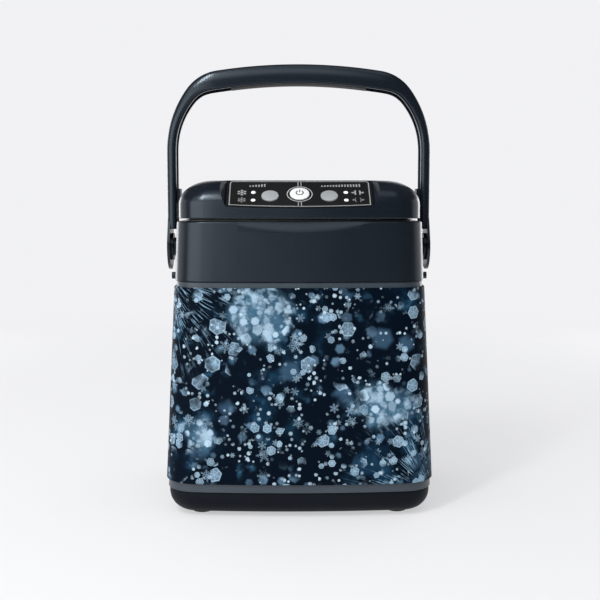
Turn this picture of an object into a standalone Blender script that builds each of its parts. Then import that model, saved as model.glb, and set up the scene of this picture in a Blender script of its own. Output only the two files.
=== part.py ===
# Hot cold therapy machine: an insulated ice water tank, a lift-off lid that holds the pump,
# the air compressor and the controls, and a bail handle on side pivots.
# Metres, +Z up, front towards -Y. The origin lies on the floor under the middle of the tank.

import math

import bmesh
import bpy
from mathutils import Matrix, Vector

# Clearances
seat_gap = 0.0003  # between pieces that touch or are let into each other
cut_overrun = 0.003  # how far a cutter runs past what it cuts
weld_gap = 0.00001  # points nearer than this are one point

# Heights of the stacked mouldings
foot_height = 0.002
base_height = 0.0204
lower_strip_height = 0.0075
wrap_height = 0.1688
upper_strip_height = 0.0047
collar_height = 0.0512
lid_gap = 0.0025
lid_height = 0.0329

# Outline of the tank: straight sides, round corners, bowed front and back
wrap_width_bottom = 0.235
wrap_side_draft = 0.0080
wrap_depth_bottom = 0.200
wrap_depth_top = 0.185
wrap_thickness = 0.0020
wrap_edge = 0.0005
corner_bottom = 0.030
corner_top = 0.027
bow_radius = 0.9

# Tank mouldings
shell_wall = 0.0026
base_inset = 0.0012
base_round = 0.018
collar_side_step = 0.0008
collar_side_draft = 0.0018
collar_depth_bottom = 0.1834
collar_depth_top = 0.1802
collar_wall = 0.004
collar_deck = 0.006
collar_edge = 0.0012
mouth_inset = 0.0135
liner_wall = 0.0022
foam_floor = 0.012
liner_draft = 0.005
liner_round = 0.010
least_corner = 0.004
flange_thickness = 0.0012
flange_width = 0.0055
foam_step = 0.0006

# Finger scoop in the front edge of the upper housing
scoop_height = 0.0088
scoop_depth = 0.0046
scoop_width = 0.124

# Feet
foot_radius = 0.009
foot_recess = 0.0012
foot_inset = 0.031

# Lid
lid_side_step = 0.0017
lid_depth = 0.1764
lid_corner = 0.026
lid_wall = 0.0026
lid_edge = 0.0006
lid_side_height = 0.0119
shoulder_run = 0.029
top_corner = 0.016
gasket_inset = 0.0102
gasket_width = 0.0032
lid_screw_inset = 0.0070
lid_screw_spread = 0.090
screw_head_radius = 0.0025
screw_head = 0.0014
screw_shank_radius = 0.0013
screw_length = 0.0100
screw_boss_radius = 0.0032
screw_boss_height = 0.0165
tub_recess = 0.0011
tub_wall = 0.0022
tub_flange = 0.0018
tub_clearance = 0.0014
tub_depth = 0.0455
tub_draft = 0.0025
tub_round = 0.006
tub_corner = 0.018

# Control panel, set into the front shoulder of the lid
panel_slope = math.radians(36)
panel_width = 0.1254
panel_length = 0.0384
panel_corner = 0.003
panel_foot_height = 0.0088
overlay_thickness = 0.0008
recess_flare = math.radians(33)
recess_floor = 0.0024
recess_rim = 0.004
recess_depth = 0.0105
overlay_margin = 0.0004
power_button_diameter = 0.0179
mode_button_diameter = 0.0154
mode_button_offset = 0.0254
mode_button_drop = 0.0030
button_clearance = 0.0003
button_proud = 0.0009
button_crown = 0.0007
button_crown_share = 0.5
button_rise_share = 0.8
button_travel = 0.0010
button_flange = 0.0014
button_flange_thickness = 0.0012
button_stem_radius = 0.0018
lamp_diameter = 0.0044
lamp_column = 0.0398
lamp_upper = 0.0026
lamp_lower = -0.0086
board_width = 0.108
board_length = 0.026
board_thickness = 0.0016
board_corner = 0.002
board_drop = 0.0093
board_post_radius = 0.0022
board_post_inset = 0.004
switch_size = 0.0066
switch_height = 0.0034
switch_well_depth = 0.0027

# Handle
pivot_height = 0.2305
handle_standoff = 0.0130
handle_crown_height = 0.3964
crown_radius = 0.49
handle_shoulder_run = 0.0459
shoulder_radius = 0.042
shoulder_angle = math.radians(54)
grip_thickness = 0.0192
arm_thickness = 0.0106
grip_half_length = 0.064
grip_depth = 0.030
arm_depth = 0.026
handle_web = 0.0031
handle_flange = 0.0030
handle_edge = 0.005
arm_foot_clearance = 0.0040
plate_thickness = 0.0024
plate_inset = 0.0004
plate_end_radius = 0.021
plate_overlap = 0.010
plate_lean_share = 0.6
hub_radius = 0.0125
hub_thickness = 0.0046
hub_set = 0.0001
lug_height = 0.0135
lug_depth = 0.014
lug_reach = 0.0014
lug_rise = 0.0235
insert_proud = 0.0006
insert_edge = 0.0015
pivot_boss_radius = 0.0084
pin_radius = 0.0040
pin_head_radius = 0.0090
pin_head_thickness = 0.0024
pin_head_proud = 0.0007
pin_length = 0.0118
stop_radius = 0.0030
stop_reach = 0.0036
stop_offset = 0.055
stop_height = 0.0035

# Ports in the back of the lid
port_recess_width = 0.092
port_recess_depth = 0.016
port_recess_foot = 0.0056
socket_width = 0.044
socket_height = 0.0165
socket_reach = 0.0145
socket_flange = 0.0016
socket_well_depth = 0.0125
socket_roof = 0.0013
barb_length = 0.0075
socket_wall = 0.0022
socket_round = 0.004
socket_offset = -0.016
socket_lift = 0.0016
nozzle_spacing = 0.0122
water_nozzle_radius = 0.0032
air_nozzle_radius = 0.0024
nozzle_bore_radius = 0.0015
nozzle_length = 0.0088
latch_width = 0.014
latch_height = 0.0042
latch_length = 0.0085
latch_travel = 0.0015
latch_slot_depth = 0.0030
latch_margin = 0.0014
latch_edge = 0.0005
inlet_offset = 0.031
inlet_radius = 0.0062
inlet_bore_radius = 0.0033
inlet_pin_radius = 0.0011
inlet_pin_set = 0.0010
inlet_bore_depth = 0.0085
inlet_body_depth = 0.0100
inlet_collar_radius = 0.0078
inlet_collar_thickness = 0.0018

# Water pump, standing on the floor of the tub
pump_offset_x = -0.040
pump_offset_y = 0.012
volute_radius = 0.0195
volute_height = 0.0125
volute_wall = 0.0024
impeller_radius = 0.0145
impeller_height = 0.0062
impeller_disc = 0.0014
impeller_hub_radius = 0.0040
impeller_blade = 0.0014
impeller_blades = 6
impeller_clearance = 0.0010
shaft_radius = 0.0012
motor_radius = 0.0138
motor_height = 0.030
motor_end = 0.0030
motor_flange = 0.0024
motor_end_share = 0.35
shaft_reach = 0.009
spigot_radius = 0.0042
spigot_wall = 0.0014
spigot_length = 0.007
intake_tube_wall = 0.0013
blade_sweep = math.radians(28)
blade_reach_share = 0.98
outlet_radius = 0.0036
outlet_length = 0.0080
filter_radius = 0.0130
filter_height = 0.016
filter_wall = 0.0016
filter_slots = 8
filter_slot_width = 0.0022
filter_slot_height = 0.008
filter_floor_gap = 0.0040
return_offset_y = 0.050
return_radius = 0.0042
return_length = 0.022
return_flange_radius = 0.0076

# Air compressor and valve block
compressor_offset_x = 0.037
compressor_offset_y = 0.010
compressor_width = 0.030
compressor_length = 0.044
compressor_height = 0.026
compressor_head_radius = 0.0105
compressor_head_height = 0.009
compressor_motor_radius = 0.0118
compressor_motor_length = 0.026
valve_width = 0.030
valve_length = 0.014
valve_height = 0.014
valve_shift = 0.014
valve_port_share = 0.6
compressor_edge = 0.0012
valve_offset_y = 0.049
hose_radius = 0.0034
air_hose_radius = 0.0024
hose_lead = 0.0050
hose_swing = 0.0075
hose_turn = 0.0102
air_hose_swing = 0.0129
feed_route_shares = ((0.3, 0.3), (0.8, 0.8))
return_route_shares = ((0, 0.3), (0, 0.7), (0.4, 0.95), (0.75, 1))
air_route_shares = ((0, 0.35), (0.7, 0.75))

# Facet counts
corner_steps = 5
bow_steps = 4
shoulder_steps = 6
round_steps = 4
crown_steps = 4
shoulder_bend_steps = 8
arm_bend_steps = 6

# Levels of the stacked mouldings, each worked out from the one below it
z_base_bottom = foot_height
z_base_top = z_base_bottom + base_height
z_shell_bottom = z_base_top + seat_gap
z_wrap_bottom = z_shell_bottom + lower_strip_height
z_wrap_top = z_wrap_bottom + wrap_height
z_shell_top = z_wrap_top + upper_strip_height
z_collar_bottom = z_shell_top + seat_gap
z_collar_top = z_collar_bottom + collar_height
z_lid_bottom = z_collar_top + lid_gap
z_lid_top = z_lid_bottom + lid_height

# Widths of the stacked mouldings, each worked out from the one below it
wrap_width_top = wrap_width_bottom - wrap_side_draft * 2
collar_width_bottom = wrap_width_top - collar_side_step * 2
collar_width_top = collar_width_bottom - collar_side_draft * 2
lid_width = collar_width_top - lid_side_step * 2

# Colour, roughness and metallic value of each finish
finishes = {
    "navy_gloss": ((0.035, 0.042, 0.060), 0.28, 0.0),
    "grey_satin": ((0.110, 0.120, 0.135), 0.45, 0.0),
    "wrap_print": ((0.045, 0.090, 0.150), 0.40, 0.0),
    "panel_black": ((0.012, 0.013, 0.016), 0.45, 0.0),
    "button_white": ((0.780, 0.800, 0.820), 0.35, 0.0),
    "button_grey": ((0.330, 0.360, 0.420), 0.40, 0.0),
    "lamp_clear": ((0.750, 0.800, 0.850), 0.20, 0.0),
    "seal_rubber": ((0.015, 0.015, 0.016), 0.80, 0.0),
    "liner_white": ((0.700, 0.710, 0.720), 0.40, 0.0),
    "foam_cream": ((0.720, 0.670, 0.520), 0.90, 0.0),
    "board_green": ((0.020, 0.160, 0.070), 0.50, 0.0),
    "steel": ((0.560, 0.570, 0.580), 0.30, 1.0),
    "inner_black": ((0.025, 0.025, 0.028), 0.50, 0.0),
    "hose_clear": ((0.600, 0.650, 0.680), 0.30, 0.0),
}


def clear_scene():
    for old in list(bpy.data.objects):
        bpy.data.objects.remove(old, do_unlink=True)


def new_collection(name):
    collection = bpy.data.collections.new(name)
    bpy.context.scene.collection.children.link(collection)
    return collection


def make_materials():
    made = {}
    for name, (colour, roughness, metallic) in finishes.items():
        material = bpy.data.materials.new(name)
        material.use_nodes = True
        shader = material.node_tree.nodes["Principled BSDF"]
        shader.inputs["Base Color"].default_value = (*colour, 1)
        shader.inputs["Roughness"].default_value = roughness
        shader.inputs["Metallic"].default_value = metallic
        made[name] = material
    return made


clear_scene()
parts = new_collection("hot_cold_therapy_machine")
cutters = new_collection("cutters")
materials = make_materials()


def mesh_from(bm, name):
    bmesh.ops.recalc_face_normals(bm, faces=bm.faces)
    mesh = bpy.data.meshes.new(name)
    bm.to_mesh(mesh)
    bm.free()
    return mesh


def place(obj, location=(0, 0, 0), rotation=(0, 0, 0), parent=None):
    obj.location = location
    obj.rotation_euler = rotation
    obj.parent = parent
    return obj


def as_part(name, mesh, finish, sharp=30):
    """A visible piece, shaded smooth up to the given angle between faces."""
    obj = bpy.data.objects.new(name, mesh)
    mesh.materials.append(materials[finish])
    mesh.shade_smooth()
    mesh.set_sharp_from_angle(angle=math.radians(sharp))
    parts.objects.link(obj)
    return obj


def as_cutter(name, mesh):
    """A helper that only cuts, joins or bounds another piece."""
    obj = bpy.data.objects.new(name, mesh)
    obj.hide_render = True
    obj.display_type = "WIRE"
    cutters.objects.link(obj)
    return obj


def frame_empty(name, location, rotation=(0, 0, 0), parent=None):
    """An empty that carries pieces, standing on their joint or in their plane."""
    obj = bpy.data.objects.new(name, None)
    parts.objects.link(obj)
    return place(obj, location, rotation, parent)


def boolean(target, tool, operation):
    modifier = target.modifiers.new(tool.name + "_" + operation.lower(), "BOOLEAN")
    modifier.operation = operation
    modifier.object = tool
    modifier.solver = "EXACT"


def round_edges(obj, width, segments=2, angle=35):
    modifier = obj.modifiers.new("round_edges", "BEVEL")
    modifier.width = width
    modifier.segments = segments
    modifier.limit_method = "ANGLE"
    modifier.angle_limit = math.radians(angle)


def loft_mesh(name, rings, closed=False):
    """Skins a row of rings with equal point counts, capped at both ends or closed on itself."""
    bm = bmesh.new()
    rows = [[bm.verts.new(point) for point in ring] for ring in rings]
    pairs = list(zip(rows, rows[1:]))
    if closed:
        pairs.append((rows[-1], rows[0]))
    for lower, upper in pairs:
        for index in range(len(lower)):
            follow = (index + 1) % len(lower)
            bm.faces.new((lower[index], lower[follow], upper[follow], upper[index]))
    if not closed:
        bm.faces.new(rows[0])
        bm.faces.new(rows[-1])
    return mesh_from(bm, name)


def cylinder_mesh(name, radius, low, high, segments=32, top_radius=None):
    """A round bar along Z from low to high."""
    bm = bmesh.new()
    bmesh.ops.create_cone(
        bm,
        cap_ends=True,
        segments=segments,
        radius1=radius,
        radius2=radius if top_radius is None else top_radius,
        depth=high - low,
        matrix=Matrix.Translation((0, 0, (low + high) / 2)),
    )
    return mesh_from(bm, name)


def box_mesh(name, low, high):
    """A block between two opposite corners."""
    size = Vector(high) - Vector(low)
    middle = (Vector(high) + Vector(low)) / 2
    bm = bmesh.new()
    bmesh.ops.create_cube(bm, size=1, matrix=Matrix.Translation(middle) @ Matrix.Diagonal((*size, 1)))
    return mesh_from(bm, name)


def plate_mesh(name, outline, thickness):
    """A flat plate with its outline in XY, centred on Z, made from a filled curve."""
    curve = bpy.data.curves.new(name, "CURVE")
    curve.dimensions = "2D"
    curve.fill_mode = "BOTH"
    curve.extrude = thickness / 2
    spline = curve.splines.new("POLY")
    spline.points.add(len(outline) - 1)
    for point, (x, y) in zip(spline.points, outline):
        point.co = (x, y, 0, 1)
    spline.use_cyclic_u = True
    return mesh_of_curve(name, curve)


def mesh_of_curve(name, curve):
    """The curve's own surface as a mesh, with its caps welded on."""
    guide = bpy.data.objects.new(name + "_guide", curve)
    cutters.objects.link(guide)
    bpy.context.view_layer.update()
    mesh = bpy.data.meshes.new_from_object(guide.evaluated_get(bpy.context.evaluated_depsgraph_get()))
    bpy.data.objects.remove(guide)
    bm = bmesh.new()
    bm.from_mesh(mesh)
    bmesh.ops.remove_doubles(bm, verts=bm.verts, dist=weld_gap)
    bpy.data.meshes.remove(mesh)
    return mesh_from(bm, name)


def tube_mesh(name, points, radius, sides=2):
    """A round hose or bar along a row of points."""
    curve = bpy.data.curves.new(name, "CURVE")
    curve.dimensions = "3D"
    curve.bevel_depth = radius
    curve.bevel_resolution = sides
    curve.use_fill_caps = True
    spline = curve.splines.new("POLY")
    spline.points.add(len(points) - 1)
    for point, place_at in zip(spline.points, points):
        point.co = (*place_at, 1)
    return mesh_of_curve(name, curve)


def turned(obj, segments=32):
    """Turns a profile mesh about Z. The profile runs down its outer side."""
    modifier = obj.modifiers.new("turn", "SCREW")
    modifier.axis = "Z"
    modifier.angle = math.tau
    modifier.steps = segments
    modifier.render_steps = segments
    modifier.use_merge_vertices = True
    modifier.merge_threshold = weld_gap
    modifier.use_smooth_shade = True


def profile_mesh(name, points, closed=False):
    """An open or closed outline in XZ, given as (radius, height), for turning."""
    bm = bmesh.new()
    verts = [bm.verts.new((radius, 0, height)) for radius, height in points]
    for first, second in zip(verts, verts[1:]):
        bm.edges.new((first, second))
    if closed:
        bm.edges.new((verts[-1], verts[0]))
    mesh = bpy.data.meshes.new(name)
    bm.to_mesh(mesh)
    bm.free()
    return mesh


def arc(centre, radius, start, end, steps):
    """Points on an arc of a circle, both ends included."""
    turns = [start + (end - start) * step / steps for step in range(steps + 1)]
    return [(centre[0] + radius * math.cos(turn), centre[1] + radius * math.sin(turn)) for turn in turns]


def rounded_outline(width, length, corner, steps=4):
    """A rectangle with round corners, centred on the origin."""
    outline = []
    run = width / 2 - corner
    rise = length / 2 - corner
    for index, (x, y) in enumerate(((run, rise), (-run, rise), (-run, -rise), (run, -rise))):
        outline += arc((x, y), corner, index * math.pi / 2, (index + 1) * math.pi / 2, steps)
    return outline


def plan_ring(z, half_width, half_depth, corner):
    """The tank's outline at one height: straight sides, round corners, bowed front and back."""
    bow_centre = half_depth - bow_radius
    run = half_width - corner
    rise = math.sqrt((bow_radius - corner) ** 2 - run**2)
    turn = math.atan2(rise, run)
    quarter = arc((run, bow_centre + rise), corner, 0, turn, corner_steps)
    quarter += arc((0, bow_centre), bow_radius, turn, math.pi / 2, bow_steps)[1:]
    ring = quarter
    ring = ring + [(-x, y) for x, y in reversed(quarter[:-1])]
    ring = ring + [(-x, -y) for x, y in quarter]
    ring = ring + [(x, -y) for x, y in reversed(quarter[:-1])]
    return [(x, y, z) for x, y in ring]


def blend(low, high, share):
    return low + (high - low) * share


def shell_size(z, inset=0):
    """Half width, half depth and corner of the grey shell's outer face at height z."""
    share = (z - z_wrap_bottom) / wrap_height
    half_width = blend(wrap_width_bottom, wrap_width_top, share) / 2 - wrap_thickness - inset
    half_depth = blend(wrap_depth_bottom, wrap_depth_top, share) / 2 - wrap_thickness - inset
    corner = blend(corner_bottom, corner_top, share) - wrap_thickness - inset
    return half_width, half_depth, max(corner, least_corner)


def shell_ring(z, inset=0):
    return plan_ring(z, *shell_size(z, inset))


def collar_size(z, inset=0):
    """Half width, half depth and corner of the upper housing's outer face at height z."""
    share = (z - z_collar_bottom) / collar_height
    half_width = blend(collar_width_bottom, collar_width_top, share) / 2 - inset
    half_depth = blend(collar_depth_bottom, collar_depth_top, share) / 2 - inset
    return half_width, half_depth, max(corner_top - inset, least_corner)


def collar_ring(z, inset=0):
    return plan_ring(z, *collar_size(z, inset))


# The liner hangs in the mouth of the upper housing
mouth_half_width, mouth_half_depth, mouth_corner = collar_size(z_collar_top, mouth_inset)
z_liner_bottom = z_base_bottom + shell_wall + foam_floor
z_flange_bottom = z_collar_top + seat_gap
z_flange_top = z_flange_bottom + flange_thickness


def liner_ring(z, inset=0):
    """The reservoir's outer face at height z, tapering towards its floor."""
    share = (z_flange_bottom - z) / (z_flange_bottom - z_liner_bottom)
    inward = seat_gap + inset + liner_draft * share
    corner = max(mouth_corner - inward, least_corner)
    return plan_ring(z, mouth_half_width - inward, mouth_half_depth - inward, corner)


def foot_arc(radius, base_level, inset, size_ring, steps=2):
    """Rings of a rounded bottom edge, from the flat floor up to the side."""
    rings = []
    for step in range(steps + 1):
        turn = math.pi / 2 * (1 - step / steps)
        level = base_level + radius * (1 - math.sin(turn))
        rings.append(size_ring(level, inset + radius * (1 - math.cos(turn))))
    return rings


def make_base():
    """The bottom moulding, a tray with a rounded edge and recesses for the feet."""
    outer = foot_arc(base_round, z_base_bottom, base_inset, shell_ring, round_steps)
    outer.append(shell_ring(z_base_top, base_inset))
    inner_round = base_round - shell_wall
    inner = foot_arc(inner_round, z_base_bottom + shell_wall, base_inset + shell_wall, shell_ring)
    inner.append(shell_ring(z_base_top, base_inset + shell_wall))
    base = as_part("base_shell", loft_mesh("base_shell", outer + inner[::-1]), "navy_gloss")
    half_width, half_depth, _ = shell_size(z_base_bottom)
    recess_top = z_base_bottom + foot_recess
    for side, sign_x in (("left", -1), ("right", 1)):
        for end, sign_y in (("front", -1), ("rear", 1)):
            name = f"foot_{end}_{side}"
            at = (sign_x * (half_width - foot_inset), sign_y * (half_depth - foot_inset), 0)
            mesh = cylinder_mesh(name, foot_radius, 0, recess_top - seat_gap, 16)
            place(as_part(name, mesh, "seal_rubber"), at)
            recess = cylinder_mesh(name + "_recess", foot_radius + seat_gap, -cut_overrun, recess_top, 16)
            cutter = place(as_cutter(name + "_recess", recess), at)
            boolean(base, cutter, "DIFFERENCE")


def make_shell():
    """The grey middle shell, open at both ends."""
    rings = [
        shell_ring(z_shell_bottom),
        shell_ring(z_shell_top),
        shell_ring(z_shell_top, shell_wall),
        shell_ring(z_shell_bottom, shell_wall),
    ]
    as_part("mid_shell", loft_mesh("mid_shell", rings, closed=True), "grey_satin")


def make_wrap():
    """The printed wrap round the shell."""
    rings = [
        shell_ring(z_wrap_bottom, -seat_gap),
        shell_ring(z_wrap_bottom, wrap_edge - wrap_thickness),
        shell_ring(z_wrap_bottom + wrap_edge, -wrap_thickness),
        shell_ring(z_wrap_top - wrap_edge, -wrap_thickness),
        shell_ring(z_wrap_top, wrap_edge - wrap_thickness),
        shell_ring(z_wrap_top, -seat_gap),
    ]
    as_part("printed_wrap", loft_mesh("printed_wrap", rings, closed=True), "wrap_print")


def axis_x_cylinder(name, radius, low, high, side, segments=20):
    """A helper mesh of a round bar along X on one side of the tank, side being -1 or 1."""
    mesh = cylinder_mesh(name, radius, low, high, segments)
    mesh.transform(Matrix.Rotation(side * math.pi / 2, 4, "Y"))
    return mesh


# The handle turns on a boss at each side, held by a headed pin
handle_half_width = collar_size(pivot_height)[0] + handle_standoff
handle_plate_face = handle_half_width - plate_inset
arm_foot_rise = hub_radius + arm_foot_clearance
hub_inner_face = handle_plate_face - hub_thickness
boss_face = hub_inner_face - seat_gap
pin_head_face = handle_plate_face + pin_head_proud
pin_seat_face = pin_head_face - pin_head_thickness
pin_end = pin_seat_face - pin_length


def make_scoop():
    """The cutter of the finger scoop: a wide hollow curve laid over the front top edge."""
    z_foot = z_collar_top - scoop_height
    y_top = scoop_depth - collar_size(z_collar_top)[1]
    y_foot = -collar_size(z_foot)[1]
    lean = math.atan2(y_top - y_foot, scoop_height)
    edge_retreat = (scoop_width / 2) ** 2 / (2 * bow_radius)
    sag = (scoop_depth - edge_retreat) * math.cos(lean)
    hollow_radius = (scoop_width / 2) ** 2 / (2 * sag)
    reach = math.asin((scoop_width / 2 + scoop_depth) / hollow_radius)
    centre = (0, -hollow_radius)
    outline = arc(centre, hollow_radius, math.pi / 2 - reach, math.pi / 2 + reach, 12)
    outline = outline + [(-scoop_width, -scoop_width / 2), (scoop_width, -scoop_width / 2)]
    mesh = plate_mesh("scoop_cutter", outline, scoop_height * 4)
    middle = (0, (y_top + y_foot) / 2, (z_collar_top + z_foot) / 2)
    return place(as_cutter("scoop_cutter", mesh), middle, (-lean, 0, 0))


def make_collar():
    """The upper housing with its scoop, the handle's bosses and the stops that the arms rest on."""
    z_deck = z_collar_top - collar_deck
    rings = [
        collar_ring(z_collar_bottom),
        collar_ring(z_collar_top - collar_edge),
        collar_ring(z_collar_top - collar_edge * (1 - math.sqrt(0.5)), collar_edge * (1 - math.sqrt(0.5))),
        collar_ring(z_collar_top, collar_edge),
        collar_ring(z_collar_top, mouth_inset),
        collar_ring(z_deck, mouth_inset),
        collar_ring(z_deck, collar_wall),
        collar_ring(z_collar_bottom, collar_wall),
    ]
    collar = as_part("upper_collar", loft_mesh("upper_collar", rings, closed=True), "navy_gloss")
    boolean(collar, make_scoop(), "DIFFERENCE")
    wall_middle = collar_size(pivot_height)[0] - collar_wall / 2
    stop_level = z_collar_bottom + stop_height
    stop_wall = collar_size(stop_level)[0]
    for side, sign in (("left", -1), ("right", 1)):
        boss = axis_x_cylinder(side + "_boss", pivot_boss_radius, wall_middle, boss_face, sign)
        boolean(collar, place(as_cutter(side + "_boss", boss), (0, 0, pivot_height)), "UNION")
        for end, sign_y in (("front", -1), ("rear", 1)):
            name = f"{side}_{end}_stop"
            root = stop_wall - collar_wall / 2
            stop = axis_x_cylinder(name, stop_radius, root, stop_wall + stop_reach, sign, 16)
            cutter = place(as_cutter(name, stop), (0, sign_y * stop_offset, stop_level))
            boolean(collar, cutter, "UNION")
        name = side + "_pin_bore"
        bore = axis_x_cylinder(name, pin_radius + seat_gap, pin_end - seat_gap, boss_face + cut_overrun, sign)
        boolean(collar, place(as_cutter(name, bore), (0, 0, pivot_height)), "DIFFERENCE")


def make_pins():
    """The headed pins, each a turned piece lying along X."""
    for side, sign in (("left", -1), ("right", 1)):
        name = f"pivot_pin_{side}"
        edge = pin_head_proud / 2
        profile = [
            (0, pin_head_face),
            (pin_head_radius - edge, pin_head_face),
            (pin_head_radius, pin_head_face - edge),
            (pin_head_radius, pin_seat_face),
            (pin_radius, pin_seat_face),
            (pin_radius, pin_end),
            (0, pin_end),
        ]
        pin = as_part(name, profile_mesh(name, profile), "navy_gloss")
        place(pin, (0, 0, pivot_height), (0, sign * math.pi / 2, 0))
        turned(pin, 20)


def make_liner():
    """The reservoir, a cup with a flange that rests on the upper housing."""
    z_inside = z_liner_bottom + liner_wall
    outer = foot_arc(liner_round, z_liner_bottom, 0, liner_ring)
    outer.append(liner_ring(z_flange_bottom))
    outer.append(collar_ring(z_flange_bottom, mouth_inset - flange_width))
    outer.append(collar_ring(z_flange_top, mouth_inset - flange_width))
    inner = foot_arc(liner_round - liner_wall, z_inside, liner_wall, liner_ring)
    inner.append(liner_ring(z_flange_top, liner_wall))
    as_part("reservoir_liner", loft_mesh("reservoir_liner", outer + inner[::-1]), "liner_white")


def make_foam():
    """Moulded insulation that fills the space between the outer mouldings and the liner."""
    z_floor = z_base_bottom + shell_wall + seat_gap
    z_deck = z_collar_top - collar_deck - seat_gap
    base_gap = shell_wall + seat_gap
    outer = foot_arc(base_round - base_gap, z_floor, base_inset + base_gap, shell_ring)
    outer.append(shell_ring(z_base_top, base_inset + base_gap))
    outer.append(shell_ring(z_shell_top, base_inset + base_gap))
    outer.append(collar_ring(z_collar_bottom, collar_wall + foam_step))
    outer.append(collar_ring(z_deck, collar_wall + foam_step))
    inner = foot_arc(liner_round + seat_gap, z_liner_bottom - seat_gap, -seat_gap, liner_ring)
    inner.append(liner_ring(z_deck, -seat_gap))
    as_part("insulation_foam", loft_mesh("insulation_foam", outer + inner[::-1]), "foam_cream")


make_base()
make_shell()
make_wrap()
make_collar()
make_pins()
make_liner()
make_foam()


# The lid and all that rides on it hang from one empty on the line along which the lid lifts off
lid_frame = frame_empty("lid_frame", (0, 0, 0))
z_lid_side_top = z_lid_bottom + lid_side_height
shoulder_rise = lid_height - lid_side_height
z_tub_flange = z_lid_bottom + tub_recess
z_tub_flange_top = z_tub_flange + tub_flange
z_tub_bottom = z_tub_flange - tub_depth
z_tub_floor = z_tub_bottom + tub_wall


def lid_ring(z, inset, share=0):
    """The lid's outline, with corners that grow wider over the rounded shoulder."""
    corner = blend(lid_corner, top_corner, share) - inset * (1 - share)
    return plan_ring(z, lid_width / 2 - inset, lid_depth / 2 - inset, max(corner, least_corner))


def shoulder_rings(wall):
    """Rings up the side and over the elliptical shoulder, a wall's thickness inside the lid's face."""
    rings = []
    for step in range(shoulder_steps + 1):
        turn = math.pi / 2 * step / shoulder_steps
        run = shoulder_run - wall
        level = z_lid_side_top + (shoulder_rise - wall) * math.sin(turn)
        inset = wall + run * (1 - math.cos(turn))
        share = 1 - math.cos(turn)
        corner = blend(lid_corner - wall, top_corner, share)
        rings.append(plan_ring(level, lid_width / 2 - inset, lid_depth / 2 - inset, corner))
    return rings


def tub_ring(z, inset=0):
    """The outer face of the tub under the lid, a clearance inside the liner's mouth."""
    inward = seat_gap + liner_wall + tub_clearance + inset
    inward += tub_draft * (z_tub_flange - z) / tub_depth
    corner = max(tub_corner - inset, least_corner)
    return plan_ring(z, mouth_half_width - inward, mouth_half_depth - inward, corner)


# The panel's own frame: X across the lid, Y up the slope, Z out of the recess floor
panel_foot_y = -lid_depth / 2
panel_centre = (
    0,
    panel_foot_y + panel_length / 2 * math.cos(panel_slope),
    z_lid_bottom + panel_foot_height + panel_length / 2 * math.sin(panel_slope),
)
panel_frame = frame_empty("panel_frame", panel_centre, (panel_slope, 0, 0), lid_frame)
overlay_face = seat_gap + overlay_thickness
board_top = -board_drop
switch_top = board_top + seat_gap + switch_height
buttons = (
    ("power", 0, 0, power_button_diameter / 2, "button_white"),
    ("cold", -mode_button_offset, -mode_button_drop, mode_button_diameter / 2, "button_grey"),
    ("compression", mode_button_offset, -mode_button_drop, mode_button_diameter / 2, "button_grey"),
)
lamps = (
    ("cold_high", -lamp_column, lamp_upper),
    ("cold_low", -lamp_column, lamp_lower),
    ("compression_high", lamp_column, lamp_upper),
    ("compression_low", lamp_column, lamp_lower),
)
screw_spots = [
    (name, sign_x * (lid_width / 2 - lid_screw_inset), sign_y * lid_screw_spread / 2)
    for name, sign_x, sign_y in (
        ("front_left", -1, -1),
        ("front_right", 1, -1),
        ("rear_left", -1, 1),
        ("rear_right", 1, 1),
    )
]

# The recess in the back of the lid, with the hose socket and the power inlet
port_face_y = lid_depth / 2 - port_recess_depth
z_port_foot = z_lid_bottom + port_recess_foot
z_socket_bottom = z_port_foot + socket_lift
z_socket_top = z_socket_bottom + socket_height
z_inlet = (z_port_foot + z_lid_top - socket_lift) / 2


def make_panel_cutters():
    """The recess with flared ends, and the round holes for the buttons and lamps."""
    high = recess_depth * 2
    flare = high * math.tan(recess_flare)
    half = panel_width / 2 + seat_gap
    reach = panel_length
    rings = []
    for level, run in ((0, half), (high, half + flare)):
        rings.append([(-run, -reach, level), (run, -reach, level), (run, reach, level), (-run, reach, level)])
    recess = place(as_cutter("panel_recess", loft_mesh("panel_recess", rings)), parent=panel_frame)
    holes = []
    for name, x, y, radius, _ in buttons:
        mesh = cylinder_mesh(name + "_hole", radius + button_clearance, board_top, high, 24)
        holes.append(place(as_cutter(name + "_hole", mesh), (x, y, 0), parent=panel_frame))
    for name, x, y in lamps:
        mesh = cylinder_mesh(name + "_hole", lamp_diameter / 2 + seat_gap, board_top, high, 12)
        holes.append(place(as_cutter(name + "_hole", mesh), (x, y, 0), parent=panel_frame))
    return recess, holes


def make_pads():
    """Floors of both recesses, kept just inside the lid's own outer face."""
    core_wall = lid_wall / 2
    core_rings = [lid_ring(z_tub_flange_top + seat_gap, core_wall)] + shoulder_rings(core_wall)
    core = as_cutter("lid_core", loft_mesh("lid_core", core_rings))
    half = panel_width / 2 + recess_depth * math.tan(recess_flare) + recess_rim
    low = (-half, -panel_length, -recess_floor)
    panel_box = box_mesh("panel_pad", low, (half, panel_length, recess_depth))
    panel_pad = place(as_cutter("panel_pad", panel_box), parent=panel_frame)
    boolean(panel_pad, core, "INTERSECT")
    half = port_recess_width / 2 + lid_wall
    low = (-half, port_face_y - lid_wall, z_port_foot - recess_floor)
    port_pad = as_cutter("port_pad", box_mesh("port_pad", low, (half, lid_depth, z_lid_top * 2)))
    boolean(port_pad, core, "INTERSECT")
    return panel_pad, port_pad


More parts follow.
